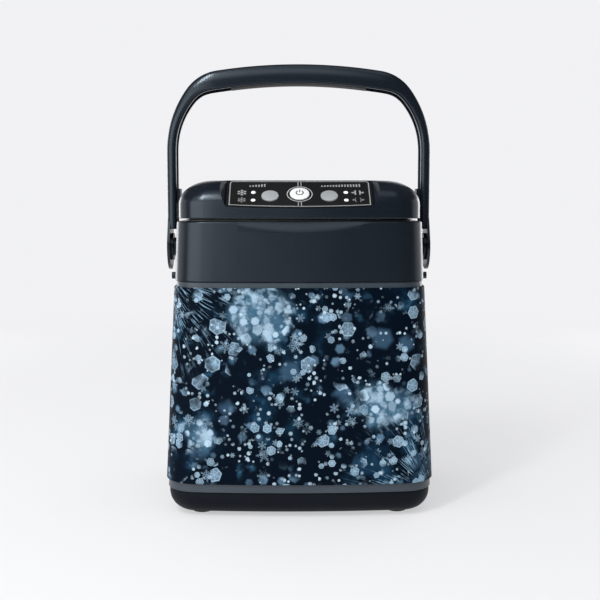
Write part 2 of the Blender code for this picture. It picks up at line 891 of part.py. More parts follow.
def make_lid():
    """The lid moulding, with the sloping panel recess in front and the port recess behind."""
    outer = [lid_ring(z_lid_bottom, lid_edge), lid_ring(z_lid_bottom + lid_edge, 0)] + shoulder_rings(0)
    inner = [lid_ring(z_lid_bottom, lid_wall)] + shoulder_rings(lid_wall)
    lid = as_part("lid_shell", loft_mesh("lid_shell", outer[::-1] + inner), "navy_gloss")
    place(lid, parent=lid_frame)
    panel_pad, port_pad = make_pads()
    recess, holes = make_panel_cutters()
    boolean(lid, panel_pad, "UNION")
    boolean(lid, port_pad, "UNION")
    for name, x, y in screw_spots:
        low = z_tub_flange_top + seat_gap
        boss = cylinder_mesh(name + "_screw_boss", screw_boss_radius, low, low + screw_boss_height, 16)
        boolean(lid, place(as_cutter(name + "_screw_boss", boss), (x, y, 0)), "UNION")
        pilot_top = z_tub_flange + screw_length + seat_gap
        pilot = cylinder_mesh(name + "_pilot", screw_shank_radius + seat_gap, z_lid_bottom, pilot_top, 12)
        boolean(lid, place(as_cutter(name + "_pilot", pilot), (x, y, 0)), "DIFFERENCE")
    for index, (x, y) in enumerate(board_posts()):
        name = f"board_post_{index}"
        post = cylinder_mesh(name, board_post_radius, board_top + seat_gap, -recess_floor / 2, 12)
        cutter = place(as_cutter(name, post), (x, y, 0), parent=panel_frame)
        boolean(lid, cutter, "UNION")
    boolean(lid, recess, "DIFFERENCE")
    half = port_recess_width / 2
    low = (-half, port_face_y, z_port_foot)
    port_recess = as_cutter("port_recess", box_mesh("port_recess", low, (half, lid_depth, z_lid_top * 2)))
    boolean(lid, port_recess, "DIFFERENCE")
    for hole in holes:
        boolean(lid, hole, "DIFFERENCE")
    return lid, holes


def board_posts():
    run = board_width / 2 - board_post_inset
    rise = board_length / 2 - board_post_inset
    return [(x, y) for x in (-run, run) for y in (-rise, rise)]


def make_panel(holes):
    """The thin overlay on the recess floor. Its lower edge follows the bow of the lid's front."""
    half = panel_width / 2 - seat_gap
    top = panel_length / 2
    outline = arc((half - panel_corner, top - panel_corner), panel_corner, 0, math.pi / 2, 3)
    outline += arc((panel_corner - half, top - panel_corner), panel_corner, math.pi / 2, math.pi, 3)
    for step in range(bow_steps * 2 + 1):
        x = -half + 2 * half * step / (bow_steps * 2)
        retreat = x**2 / (2 * bow_radius) / math.cos(panel_slope)
        outline.append((x, retreat + overlay_margin - panel_length / 2))
    mesh = plate_mesh("panel_overlay", outline, overlay_thickness)
    overlay = as_part("panel_overlay", mesh, "panel_black")
    place(overlay, (0, 0, seat_gap + overlay_thickness / 2), parent=panel_frame)
    for hole in holes:
        boolean(overlay, hole, "DIFFERENCE")


def make_buttons():
    """Three sprung buttons: a crowned cap, a flange under the recess floor and a stem."""
    for name, x, y, radius, finish in buttons:
        top = overlay_face + button_proud
        under_floor = -recess_floor - seat_gap
        flange_low = under_floor - button_flange_thickness
        stem_low = switch_top - button_travel
        profile = [
            (0, top + button_crown),
            (radius * button_crown_share, top + button_crown * button_rise_share),
            (radius - button_crown, top),
            (radius, top - button_crown),
            (radius, under_floor),
            (radius + button_flange, under_floor),
            (radius + button_flange, flange_low),
            (button_stem_radius, flange_low),
            (button_stem_radius, stem_low),
            (0, stem_low),
        ]
        button = as_part(name + "_button", profile_mesh(name + "_button", profile), finish)
        place(button, (x, y, 0), parent=panel_frame)
        turned(button, 20)


def make_board():
    """The circuit board on its posts, with a switch under each button and the lamps' light guides."""
    mesh = plate_mesh("circuit_board", board_outline(), board_thickness)
    board = as_part("circuit_board", mesh, "board_green")
    place(board, (0, 0, board_top - board_thickness / 2), parent=panel_frame)
    for name, x, y, _, _ in buttons:
        half = switch_size / 2
        low = board_top + seat_gap
        mesh = box_mesh(name + "_switch", (-half, -half, low), (half, half, switch_top))
        switch = place(as_part(name + "_switch", mesh, "inner_black"), (x, y, 0), parent=panel_frame)
        well_low = switch_top - switch_well_depth
        mesh = cylinder_mesh(name + "_well", button_stem_radius + seat_gap, well_low, 0, 12)
        boolean(switch, place(as_cutter(name + "_well", mesh), (x, y, 0), parent=panel_frame), "DIFFERENCE")
    for name, x, y in lamps:
        mesh = cylinder_mesh("lamp_" + name, lamp_diameter / 2, board_top + seat_gap, overlay_face, 12)
        place(as_part("lamp_" + name, mesh, "lamp_clear"), (x, y, 0), parent=panel_frame)


def board_outline():
    return rounded_outline(board_width, board_length, board_corner, 2)


def make_tub():
    """The tub that carries the works, its screws and the seal on its flange."""
    outer = [lid_ring(z_tub_flange_top, lid_wall + seat_gap), lid_ring(z_tub_flange, lid_wall + seat_gap)]
    outer.append(tub_ring(z_tub_flange))
    outer += foot_arc(tub_round, z_tub_bottom, 0, tub_ring)[::-1]
    inner = foot_arc(tub_round - tub_wall, z_tub_floor, tub_wall, tub_ring)
    inner.append(tub_ring(z_tub_flange_top, tub_wall))
    tub = as_part("lid_tub", loft_mesh("lid_tub", inner + outer), "liner_white")
    place(tub, parent=lid_frame)
    for name, x, y in screw_spots:
        bore = screw_shank_radius + seat_gap
        hole = cylinder_mesh(name + "_flange_hole", bore, z_lid_bottom, z_lid_top, 12)
        boolean(tub, place(as_cutter(name + "_flange_hole", hole), (x, y, 0)), "DIFFERENCE")
        head_top = z_tub_flange - seat_gap
        profile = [
            (0, z_tub_flange + screw_length),
            (screw_shank_radius, z_tub_flange + screw_length),
            (screw_shank_radius, head_top),
            (screw_head_radius, head_top),
            (screw_head_radius, head_top - screw_head),
            (0, head_top - screw_head),
        ]
        screw = as_part("tub_screw_" + name, profile_mesh("tub_screw_" + name, profile), "steel")
        place(screw, (x, y, 0), parent=lid_frame)
        turned(screw, 12)
    low = z_flange_top + seat_gap
    high = z_tub_flange - seat_gap
    rings = [
        lid_ring(low, gasket_inset),
        lid_ring(high, gasket_inset),
        lid_ring(high, gasket_inset + gasket_width),
        lid_ring(low, gasket_inset + gasket_width),
    ]
    gasket = as_part("lid_seal", loft_mesh("lid_seal", rings, closed=True), "seal_rubber")
    place(gasket, parent=lid_frame)
    return tub


lid_shell, panel_holes = make_lid()
make_panel(panel_holes)
make_buttons()
make_board()
lid_tub = make_tub()


# Water pump: the volute stands on the tub's floor and its spigot passes through it
z_pump = z_tub_floor + seat_gap
z_chamber = z_pump + volute_wall
z_volute_top = z_pump + volute_height
z_motor_flange = z_volute_top + seat_gap
z_motor_can = z_motor_flange + motor_flange
z_motor_top = z_motor_can + motor_height
z_spigot_end = z_tub_bottom - spigot_length
spigot_bore = spigot_radius - spigot_wall
z_filter_bottom = z_liner_bottom + liner_wall + filter_floor_gap
z_filter_top = z_filter_bottom + filter_height
tube_inner = spigot_radius + seat_gap
tube_outer = tube_inner + intake_tube_wall
z_outlet = z_chamber + impeller_clearance + outlet_radius
outlet_x = pump_offset_x + volute_radius - outlet_radius - volute_wall


def lathe(name, profile, finish, at, parent, segments=20, rotation=(0, 0, 0), closed=False):
    """A turned piece from its profile, standing at a point."""
    obj = as_part(name, profile_mesh(name, profile, closed), finish)
    place(obj, at, rotation, parent)
    turned(obj, segments)
    return obj


def make_pump():
    at = (pump_offset_x, pump_offset_y, 0)
    chamber = impeller_radius + impeller_clearance
    volute = [
        (chamber, z_volute_top),
        (volute_radius, z_volute_top),
        (volute_radius, z_pump),
        (spigot_radius, z_pump),
        (spigot_radius, z_spigot_end),
        (spigot_bore, z_spigot_end),
        (spigot_bore, z_chamber),
        (chamber, z_chamber),
    ]
    housing = lathe("pump_housing", volute, "inner_black", at, lid_frame, closed=True)
    start = pump_offset_y + chamber / 2
    end = pump_offset_y + volute_radius + outlet_length
    for name, radius, low, operation in (
        ("outlet", outlet_radius, start, "UNION"),
        ("outlet_bore", outlet_radius - spigot_wall, start - cut_overrun, "DIFFERENCE"),
    ):
        high = end if operation == "UNION" else end + cut_overrun
        mesh = cylinder_mesh(name, radius, low, high, 16)
        mesh.transform(Matrix.Rotation(-math.pi / 2, 4, "X"))
        boolean(housing, place(as_cutter(name, mesh), (outlet_x, 0, z_outlet)), operation)
        if operation == "UNION":
            swept = cylinder_mesh("chamber", chamber, z_chamber, z_volute_top + cut_overrun, 24)
            boolean(housing, place(as_cutter("chamber", swept), at), "DIFFERENCE")
    hole = cylinder_mesh("spigot_hole", spigot_radius + seat_gap, z_spigot_end, z_pump, 24)
    boolean(lid_tub, place(as_cutter("spigot_hole", hole), at), "DIFFERENCE")
    bore = shaft_radius + seat_gap
    z_bore = z_motor_can + shaft_reach + seat_gap
    motor = [
        (0, z_motor_top + motor_end),
        (motor_radius * motor_end_share, z_motor_top + motor_end),
        (motor_radius * motor_end_share, z_motor_top),
        (motor_radius, z_motor_top - motor_end / 2),
        (motor_radius, z_motor_can),
        (volute_radius, z_motor_can),
        (volute_radius, z_motor_flange),
        (bore, z_motor_flange),
        (bore, z_bore),
        (0, z_bore),
    ]
    lathe("pump_motor", motor, "steel", at, lid_frame)
    make_impeller(at)
    tube = [
        (tube_inner, z_tub_bottom - seat_gap),
        (tube_outer, z_tub_bottom - seat_gap),
        (tube_outer, z_filter_top + seat_gap),
        (tube_inner, z_filter_top + seat_gap),
    ]
    lathe("intake_tube", tube, "hose_clear", at, lid_frame, 16, closed=True)
    make_filter(at)


def make_impeller(at):
    """A disc with curved-back blades, a hub and the shaft that runs up into the motor."""
    z_low = z_chamber + impeller_clearance
    impeller_frame = frame_empty("impeller_frame", (at[0], at[1], z_low), parent=lid_frame)
    outline = []
    step = math.tau / impeller_blades
    half = impeller_blade / 2
    tip = impeller_radius * blade_reach_share
    for index in range(impeller_blades):
        lead = step * index
        root = (impeller_hub_radius, lead - half / impeller_hub_radius)
        tip_turn = lead - blade_sweep
        outline.append((root[0] * math.cos(root[1]), root[0] * math.sin(root[1])))
        for radius, turn in (
            (tip, tip_turn - half / tip),
            (tip, tip_turn + half / tip),
            (impeller_hub_radius, lead + half / impeller_hub_radius),
        ):
            outline.append((radius * math.cos(turn), radius * math.sin(turn)))
    mesh = plate_mesh("impeller_blades", outline, impeller_height)
    mesh.transform(Matrix.Translation((0, 0, impeller_height / 2)))
    impeller = place(as_part("impeller", mesh, "button_white"), parent=impeller_frame)
    shaft_top = z_motor_can + shaft_reach - z_low
    disc = cylinder_mesh("impeller_disc", impeller_radius, 0, impeller_disc, 24)
    disc_cutter = place(as_cutter("impeller_disc", disc), (0, 0, -impeller_disc / 2), parent=impeller_frame)
    boolean(impeller, disc_cutter, "UNION")
    shaft = cylinder_mesh("impeller_shaft", shaft_radius, impeller_disc / 2, shaft_top, 10)
    boolean(impeller, place(as_cutter("impeller_shaft", shaft), parent=impeller_frame), "UNION")


def make_filter(at):
    """The strainer on the end of the intake tube, a slotted cup on a short neck."""
    neck = tube_inner - seat_gap
    profile = [
        (neck, z_filter_top + neck),
        (neck, z_filter_top),
        (filter_radius - filter_wall, z_filter_top),
        (filter_radius, z_filter_top - filter_wall),
        (filter_radius, z_filter_bottom),
        (filter_radius - filter_wall, z_filter_bottom),
        (filter_radius - filter_wall, z_filter_top - filter_wall * 2),
        (neck - filter_wall, z_filter_top - filter_wall * 2),
        (neck - filter_wall, z_filter_top + neck),
    ]
    strainer = lathe("intake_filter", profile, "inner_black", at, lid_frame, 16, closed=True)
    reach = filter_radius + cut_overrun
    for index in range(filter_slots // 2):
        name = f"filter_slot_{index}"
        half = filter_slot_width / 2
        low = (-reach, -half, z_filter_bottom - cut_overrun)
        mesh = box_mesh(name, low, (reach, half, z_filter_bottom + filter_slot_height))
        turn = math.tau * index / filter_slots
        boolean(strainer, place(as_cutter(name, mesh), at, (0, 0, turn)), "DIFFERENCE")


# Return spout, right under its nozzle on the hose socket
return_x = socket_offset + nozzle_spacing
z_return_top = z_tub_floor + return_length / 2
z_return_end = z_tub_bottom - return_length / 2


def make_return():
    at = (return_x, return_offset_y, 0)
    bore = return_radius - spigot_wall
    flange_low = z_tub_floor + seat_gap
    profile = [
        (bore, z_return_top),
        (return_radius, z_return_top),
        (return_radius, flange_low + spigot_wall),
        (return_flange_radius, flange_low + spigot_wall),
        (return_flange_radius, flange_low),
        (return_radius, flange_low),
        (return_radius, z_return_end),
        (bore, z_return_end),
    ]
    lathe("return_spout", profile, "inner_black", at, lid_frame, 16, closed=True)
    hole = cylinder_mesh("return_hole", return_radius + seat_gap, z_return_end, z_pump, 16)
    boolean(lid_tub, place(as_cutter("return_hole", hole), at), "DIFFERENCE")


make_pump()
make_return()


# Hose socket: three nozzles in a rounded well, barbs behind it for the hoses inside the lid
socket_face_y = port_face_y + socket_reach
socket_flange_y = port_face_y - lid_wall - seat_gap
socket_back_y = socket_flange_y - socket_flange
barb_end_y = socket_back_y - barb_length
z_well_bottom = z_socket_bottom + socket_wall
z_well_top = z_socket_top - latch_slot_depth - socket_roof
z_nozzles = (z_well_bottom + z_well_top) / 2
nozzles = (
    ("feed", -nozzle_spacing, water_nozzle_radius),
    ("air", 0, air_nozzle_radius),
    ("return", nozzle_spacing, water_nozzle_radius),
)
latch_low = z_socket_top - latch_slot_depth + latch_travel + seat_gap


def block_y(name, width, low_z, high_z, near_y, far_y, corner, offset_x):
    """A bar along Y with a rounded rectangular section."""
    mesh = plate_mesh(name, rounded_outline(width, high_z - low_z, corner, 3), far_y - near_y)
    mesh.transform(Matrix.Rotation(math.pi / 2, 4, "X"))
    mesh.transform(Matrix.Translation((offset_x, (near_y + far_y) / 2, (low_z + high_z) / 2)))
    return mesh


def bar_y(name, radius, near_y, far_y, x, z, segments=12):
    mesh = cylinder_mesh(name, radius, near_y, far_y, segments)
    mesh.transform(Matrix.Rotation(-math.pi / 2, 4, "X"))
    mesh.transform(Matrix.Translation((x, 0, z)))
    return mesh


def make_socket():
    mesh = block_y("hose_socket", socket_width, z_socket_bottom, z_socket_top, socket_back_y, socket_face_y,
                   socket_round, socket_offset)
    socket = place(as_part("hose_socket", mesh, "inner_black"), parent=lid_frame)
    gap = seat_gap
    hole = block_y("socket_hole", socket_width + gap * 2, z_socket_bottom - gap, z_socket_top + gap,
                   socket_flange_y, socket_face_y + cut_overrun, socket_round + gap, socket_offset)
    boolean(lid_shell, as_cutter("socket_hole", hole), "DIFFERENCE")
    flange = block_y("socket_flange", socket_width + socket_flange * 2, z_socket_bottom - socket_flange,
                     z_socket_top + socket_flange, socket_back_y + gap, socket_flange_y, socket_round,
                     socket_offset)
    boolean(socket, as_cutter("socket_flange", flange), "UNION")
    well = block_y("socket_well", socket_width - socket_wall * 2, z_well_bottom, z_well_top,
                   socket_face_y - socket_well_depth, socket_face_y + cut_overrun, socket_round - socket_wall,
                   socket_offset)
    boolean(socket, as_cutter("socket_well", well), "DIFFERENCE")
    nozzle_end = socket_face_y - socket_well_depth + nozzle_length
    for name, offset, radius in nozzles:
        x = socket_offset + offset
        nozzle = bar_y(name + "_nozzle", radius, barb_end_y, nozzle_end, x, z_nozzles)
        boolean(socket, as_cutter(name + "_nozzle", nozzle), "UNION")
        bore = bar_y(name + "_bore", nozzle_bore_radius, barb_end_y - gap, nozzle_end + gap, x, z_nozzles, 8)
        boolean(socket, as_cutter(name + "_bore", bore), "DIFFERENCE")
    latch_y = socket_face_y - latch_margin - latch_length / 2
    slot_low = z_socket_top - latch_slot_depth
    half = (latch_width / 2 + gap, latch_length / 2 + gap)
    slot = box_mesh("latch_slot", (-half[0], -half[1], slot_low), (half[0], half[1], z_lid_top))
    boolean(socket, place(as_cutter("latch_slot", slot), (socket_offset, latch_y, 0)), "DIFFERENCE")
    half = (latch_width / 2, latch_length / 2)
    mesh = box_mesh("hose_latch", (-half[0], -half[1], 0), (half[0], half[1], latch_height))
    latch = as_part("hose_latch", mesh, "button_grey")
    place(latch, (socket_offset, latch_y, latch_low), parent=lid_frame)
    round_edges(latch, latch_edge, 2)


def make_inlet():
    """The round power inlet with its centre pin."""
    front = inlet_collar_thickness + seat_gap
    profile = [
        (0, front - inlet_pin_set),
        (inlet_pin_radius, front - inlet_pin_set),
        (inlet_pin_radius, front - inlet_bore_depth),
        (inlet_bore_radius, front - inlet_bore_depth),
        (inlet_bore_radius, front),
        (inlet_collar_radius, front),
        (inlet_collar_radius, seat_gap),
        (inlet_radius, seat_gap),
        (inlet_radius, -inlet_body_depth),
        (0, -inlet_body_depth),
    ]
    at = (inlet_offset, port_face_y, z_inlet)
    lathe("power_inlet", profile, "inner_black", at, lid_frame, 16, (-math.pi / 2, 0, 0))
    bore = inlet_radius + seat_gap
    hole = bar_y("inlet_hole", bore, socket_flange_y, socket_face_y, inlet_offset, z_inlet, 20)
    boolean(lid_shell, as_cutter("inlet_hole", hole), "DIFFERENCE")


# Air side: the compressor on the tub's floor, the valve block behind it and the link between them
z_compressor_top = z_pump + compressor_height
compressor_back_y = compressor_offset_y + compressor_length / 2
compressor_front_y = compressor_offset_y - compressor_length / 2
z_motor_axis = z_pump + compressor_height / 2
valve_x = compressor_offset_x - valve_shift
valve_front_y = valve_offset_y - valve_length / 2
z_valve_port = z_pump + valve_height * valve_port_share
valve_side_x = valve_x - valve_width / 2


def make_air_side():
    half = compressor_width / 2
    low = (-half, compressor_front_y, z_pump)
    mesh = box_mesh("air_compressor", low, (half, compressor_back_y, z_compressor_top))
    body = as_part("air_compressor", mesh, "inner_black")
    place(body, (compressor_offset_x, 0, 0), parent=lid_frame)
    round_edges(body, compressor_edge, 1)
    for index, sign in enumerate((-1, 1)):
        name = f"compressor_head_{index}"
        y = compressor_offset_y + sign * compressor_length / 4
        high = z_compressor_top + compressor_head_height
        head = cylinder_mesh(name, compressor_head_radius, z_compressor_top - compressor_edge * 2, high, 16)
        boolean(body, place(as_cutter(name, head), (compressor_offset_x, y, 0)), "UNION")
    motor_back = compressor_front_y - seat_gap
    motor_front = motor_back - compressor_motor_length
    mesh = bar_y("compressor_motor", compressor_motor_radius, motor_front, motor_back, 0, 0, 20)
    motor = as_part("compressor_motor", mesh, "steel")
    place(motor, (compressor_offset_x, 0, z_motor_axis), parent=lid_frame)
    half = valve_width / 2
    mesh = box_mesh("valve_block", (-half, -valve_length / 2, 0), (half, valve_length / 2, valve_height))
    valve = as_part("valve_block", mesh, "button_white")
    place(valve, (valve_x, valve_offset_y, z_pump), parent=lid_frame)
    round_edges(valve, compressor_edge, 1)
    near = compressor_back_y + seat_gap
    mesh = bar_y("air_link", air_hose_radius, near, valve_front_y - seat_gap, 0, z_valve_port)
    place(as_part("air_link", mesh, "hose_clear"), (compressor_offset_x, 0, 0), parent=lid_frame)


def smooth_route(points, steps):
    """A smooth curve through the given points, with straight runs into both ends."""
    route = [Vector(points[0])]
    for index in range(1, len(points) - 2):
        before, start, stop, after = (Vector(points[index + offset]) for offset in (-1, 0, 1, 2))
        for step in range(steps):
            share = step / steps
            bend = (stop - before) * share + (before * 2 - start * 5 + stop * 4 - after) * share**2
            bend = bend + (start * 3 - before - stop * 3 + after) * share**3
            route.append(start + bend / 2)
    return route + [Vector(points[-2]), Vector(points[-1])]


def make_hoses():
    """Three short hoses from the works up to the barbs of the socket."""
    barb_y = barb_end_y - seat_gap
    outlet_y = pump_offset_y + volute_radius + outlet_length + seat_gap
    feed_x = socket_offset - nozzle_spacing
    feed = [(outlet_x, outlet_y, z_outlet), (outlet_x, outlet_y + hose_radius, z_outlet)]
    for (across, up), y in zip(feed_route_shares, (outlet_y + hose_swing, barb_y - hose_turn)):
        feed.append((blend(outlet_x, feed_x, across), y, blend(z_outlet, z_nozzles, up)))
    feed += [(feed_x, barb_y - hose_lead, z_nozzles), (feed_x, barb_y, z_nozzles)]
    back = [(return_x, return_offset_y, z_return_top + seat_gap)]
    for along, up in return_route_shares:
        back.append((return_x, blend(return_offset_y, barb_y, along), blend(z_return_top, z_nozzles, up)))
    back.append((return_x, barb_y, z_nozzles))
    air_x = valve_side_x - seat_gap
    air = [(air_x, valve_offset_y, z_valve_port), (air_x - air_hose_radius, valve_offset_y, z_valve_port)]
    for (across, up), swing in zip(air_route_shares, (air_hose_swing, hose_swing)):
        x = blend(return_x, socket_offset, across)
        air.append((x, return_offset_y - swing, blend(z_valve_port, z_nozzles, up)))
    air += [(socket_offset, barb_y - hose_lead, z_nozzles), (socket_offset, barb_y, z_nozzles)]
    for name, points, radius in (
        ("water_feed_hose", feed, hose_radius),
        ("water_return_hose", back, hose_radius),
        ("air_hose", air, air_hose_radius),
    ):
        mesh = tube_mesh(name, smooth_route(points, 4), radius, 1)
        place(as_part(name, mesh, "hose_clear"), parent=lid_frame)


make_socket()
make_inlet()
make_air_side()
make_hoses()


# The bail handle: its outer edge is a crown arc, a shoulder arc and an arm arc, then straight down
handle_frame = frame_empty("handle_frame", (0, 0, pivot_height))
crown_angle = math.asin((handle_half_width - handle_shoulder_run) / crown_radius)


def handle_stations():
    """Right half of the outer edge from the crown down: (x, z, slope) above the pivot."""
    crown_z = handle_crown_height - pivot_height
    stations = []
    x, z = 0, crown_z
    start = 0
    for radius, end, steps in (
        (crown_radius, crown_angle, crown_steps),
        (shoulder_radius, shoulder_angle, shoulder_bend_steps),
        (fitted_arm_radius(), math.pi / 2, arm_bend_steps),
    ):
        centre = (x - radius * math.sin(start), z - radius * math.cos(start))
        for step in range(0 if not stations else 1, steps + 1):
            turn = blend(start, end, step / steps)
            stations.append((centre[0] + radius * math.sin(turn), centre[1] + radius * math.cos(turn), turn))
        x, z, start = stations[-1]
    stations.append((x, blend(z, arm_foot_rise, 0.5), start))
    stations.append((x, arm_foot_rise, start))
    return stations


def fitted_arm_radius():
    """The arm's arc ends upright at the handle's half width."""
    reached = crown_radius * math.sin(crown_angle)
    reached += shoulder_radius * (math.sin(shoulder_angle) - math.sin(crown_angle))
    return (handle_half_width - reached) / (1 - math.sin(shoulder_angle))


def handle_sizes(x, turn):
    """Thickness and depth of the section: the grip's over the middle, easing into the arm's."""
    share = min(max((turn - crown_angle) / (shoulder_angle - crown_angle), 0), 1)
    share = share * share * (3 - 2 * share)
    return blend(grip_thickness, arm_thickness, share), blend(grip_depth, arm_depth, share)


def section_points(station, outline):
    """Places an outline, given as (inward, y), square to the outer edge at one station."""
    x, z, turn = station
    inward = (-math.sin(turn), -math.cos(turn))
    return [(x + inward[0] * depth, y, z + inward[1] * depth) for depth, y in outline]


def channel_outline(thickness, depth):
    """The handle's section, a channel open on its inner side with rounded outer edges."""
    half = depth / 2
    edge = handle_edge
    inner_half = half - handle_flange
    near = arc((edge, edge - half), edge, -math.pi / 2, -math.pi, 3)
    outline = [(thickness, -half)] + near
    outline += [(depth_in, -y) for depth_in, y in reversed(near)] + [(thickness, half)]
    outline += [(thickness, inner_half), (handle_web, inner_half), (handle_web, -inner_half)]
    return outline + [(thickness, -inner_half)]


def mirrored(stations):
    return [(-x, z, -turn) for x, z, turn in reversed(stations)] + stations[1:]


def make_handle():
    stations = mirrored(handle_stations())
    rings = []
    for station in stations:
        thickness, depth = handle_sizes(station[0], abs(station[2]))
        rings.append(section_points(station, channel_outline(thickness, depth)))
    handle = as_part("handle_bail", loft_mesh("handle_bail", rings), "navy_gloss")
    place(handle, parent=handle_frame)
    half = arm_depth / 2 - handle_edge / 2
    plate_top = arm_foot_rise + plate_overlap
    lean = math.asin(min((plate_end_radius - half) / plate_top, 1)) * plate_lean_share
    outline = [(half, plate_top), (-half, plate_top)]
    outline += arc((0, 0), plate_end_radius, math.pi - lean, math.tau + lean, 14)
    lug_low = arm_foot_rise + lug_rise
    for side, sign in (("left", -1), ("right", 1)):
        plate = plate_mesh(side + "_plate", outline, plate_thickness)
        plate.transform(Matrix.Rotation(math.pi / 2, 4, "X"))
        plate.transform(Matrix.Rotation(math.pi / 2, 4, "Z"))
        offset = sign * (handle_plate_face - plate_thickness / 2)
        cutter = place(as_cutter(side + "_plate", plate), (offset, 0, 0), parent=handle_frame)
        boolean(handle, cutter, "UNION")
        hub_face = handle_plate_face - hub_set
        hub = axis_x_cylinder(side + "_hub", hub_radius, hub_inner_face, hub_face, sign, 20)
        boolean(handle, place(as_cutter(side + "_hub", hub), parent=handle_frame), "UNION")
        inner = handle_half_width - arm_thickness - lug_reach
        outer = handle_half_width - handle_web / 2
        near, far = sorted((sign * inner, sign * outer))
        lug_top = lug_low + lug_height
        lug = box_mesh(side + "_lug", (near, -lug_depth / 2, lug_low), (far, lug_depth / 2, lug_top))
        boolean(handle, place(as_cutter(side + "_lug", lug), parent=handle_frame), "UNION")
        seat_radius = pin_head_radius + seat_gap
        seat_low = pin_seat_face - seat_gap
        seat_high = pin_head_face + cut_overrun
        seat = axis_x_cylinder(side + "_head_seat", seat_radius, seat_low, seat_high, sign, 20)
        boolean(handle, place(as_cutter(side + "_head_seat", seat), parent=handle_frame), "DIFFERENCE")
        bore = axis_x_cylinder(side + "_hub_bore", pin_radius + seat_gap, boss_face, pin_head_face, sign, 16)
        boolean(handle, place(as_cutter(side + "_hub_bore", bore), parent=handle_frame), "DIFFERENCE")


def make_insert():
    """The soft insert that closes the channel under the grip."""
    half_turn = math.asin(grip_half_length / crown_radius)
    crown_z = handle_crown_height - pivot_height
    rings = []
    for step in range(-crown_steps, crown_steps + 1):
        turn = half_turn * step / crown_steps
        station = (crown_radius * math.sin(turn), crown_z - crown_radius * (1 - math.cos(turn)), turn)
        half = grip_depth / 2 - handle_flange - seat_gap
        low = grip_thickness + insert_proud
        edge = insert_edge
        high = handle_web + seat_gap
        outline = [(high, -half), (low - edge, -half), (low, edge - half), (low, half - edge)]
        outline += [(low - edge, half), (high, half)]
        rings.append(section_points(station, outline))
    place(as_part("grip_insert", loft_mesh("grip_insert", rings), "seal_rubber"), parent=handle_frame)


make_handle()
make_insert()
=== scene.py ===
import math

import bmesh
import bpy
from mathutils import Matrix, Vector


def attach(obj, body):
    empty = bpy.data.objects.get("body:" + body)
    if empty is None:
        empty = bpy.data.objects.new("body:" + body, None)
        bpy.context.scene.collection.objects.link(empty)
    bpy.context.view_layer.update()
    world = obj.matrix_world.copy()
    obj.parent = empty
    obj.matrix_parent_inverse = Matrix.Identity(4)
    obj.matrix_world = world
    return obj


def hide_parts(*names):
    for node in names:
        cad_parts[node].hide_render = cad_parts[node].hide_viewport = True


# Hot cold therapy machine: finished skins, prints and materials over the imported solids.
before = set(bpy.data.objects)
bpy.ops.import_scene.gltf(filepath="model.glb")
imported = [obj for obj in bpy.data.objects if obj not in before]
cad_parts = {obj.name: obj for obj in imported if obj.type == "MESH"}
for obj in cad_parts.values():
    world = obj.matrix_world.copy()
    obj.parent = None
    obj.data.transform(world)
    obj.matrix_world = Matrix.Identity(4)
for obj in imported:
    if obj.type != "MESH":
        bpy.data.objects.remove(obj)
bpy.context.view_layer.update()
print("frame loaded,", len(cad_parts), "nodes")


def feed(tree, socket, value):
    if isinstance(value, bpy.types.NodeSocket):
        tree.links.new(value, socket)
    else:
        socket.default_value = value


def mathStep(tree, operation, first, second=0.0):
    node = tree.nodes.new("ShaderNodeMath")
    node.operation = operation
    feed(tree, node.inputs[0], first)
    feed(tree, node.inputs[1], second)
    return node.outputs[0]


def timesStep(tree, *factors):
    result = factors[0]
    for factor in factors[1:]:
        result = mathStep(tree, "MULTIPLY", result, factor)
    return result


def vectorStep(tree, operation, first, second=None, output=0):
    node = tree.nodes.new("ShaderNodeVectorMath")
    node.operation = operation
    feed(tree, node.inputs[0], first)
    if second is not None:
        feed(tree, node.inputs[1], second)
    return node.outputs[output]


def axesOf(tree, vector):
    node = tree.nodes.new("ShaderNodeSeparateXYZ")
    tree.links.new(vector, node.inputs[0])
    return node.outputs


def smoothBand(tree, value, low, high):  # 0 at low, 1 at high, and either may be the larger
    node = tree.nodes.new("ShaderNodeMapRange")
    node.interpolation_type = "SMOOTHSTEP"
    feed(tree, node.inputs["Value"], value)
    feed(tree, node.inputs["From Min"], min(low, high))
    feed(tree, node.inputs["From Max"], max(low, high))
    feed(tree, node.inputs["To Min"], float(low > high))
    feed(tree, node.inputs["To Max"], float(low <= high))
    return node.outputs["Result"]


def spread(tree, value, low, high):  # 0..1 onto low..high
    node = tree.nodes.new("ShaderNodeMapRange")
    feed(tree, node.inputs["Value"], value)
    feed(tree, node.inputs["To Min"], low)
    feed(tree, node.inputs["To Max"], high)
    return node.outputs["Result"]


def mixColour(tree, share, first, second):
    node = tree.nodes.new("ShaderNodeMix")
    node.data_type = "RGBA"
    feed(tree, node.inputs[0], share)
    for socket, colour in ((node.inputs[6], first), (node.inputs[7], second)):
        feed(tree, socket, colour if isinstance(colour, bpy.types.NodeSocket) else (*colour, 1))
    return node.outputs[2]


def noiseField(tree, place, scale, detail=3.0, stretch=None):
    if stretch is not None:
        place = vectorStep(tree, "MULTIPLY", place, stretch)
    node = tree.nodes.new("ShaderNodeTexNoise")
    node.inputs["Scale"].default_value = scale
    node.inputs["Detail"].default_value = detail
    feed(tree, node.inputs["Vector"], place)
    return node.outputs[0]


def objectPlace(tree):
    return tree.nodes.new("ShaderNodeTexCoord").outputs["Object"]


def newFinish(name, settings):
    material = bpy.data.materials.new(name)
    material.use_nodes = True
    shader = material.node_tree.nodes["Principled BSDF"]
    for socket, value in settings.items():
        shader.inputs[socket].default_value = value
    return material, material.node_tree, shader


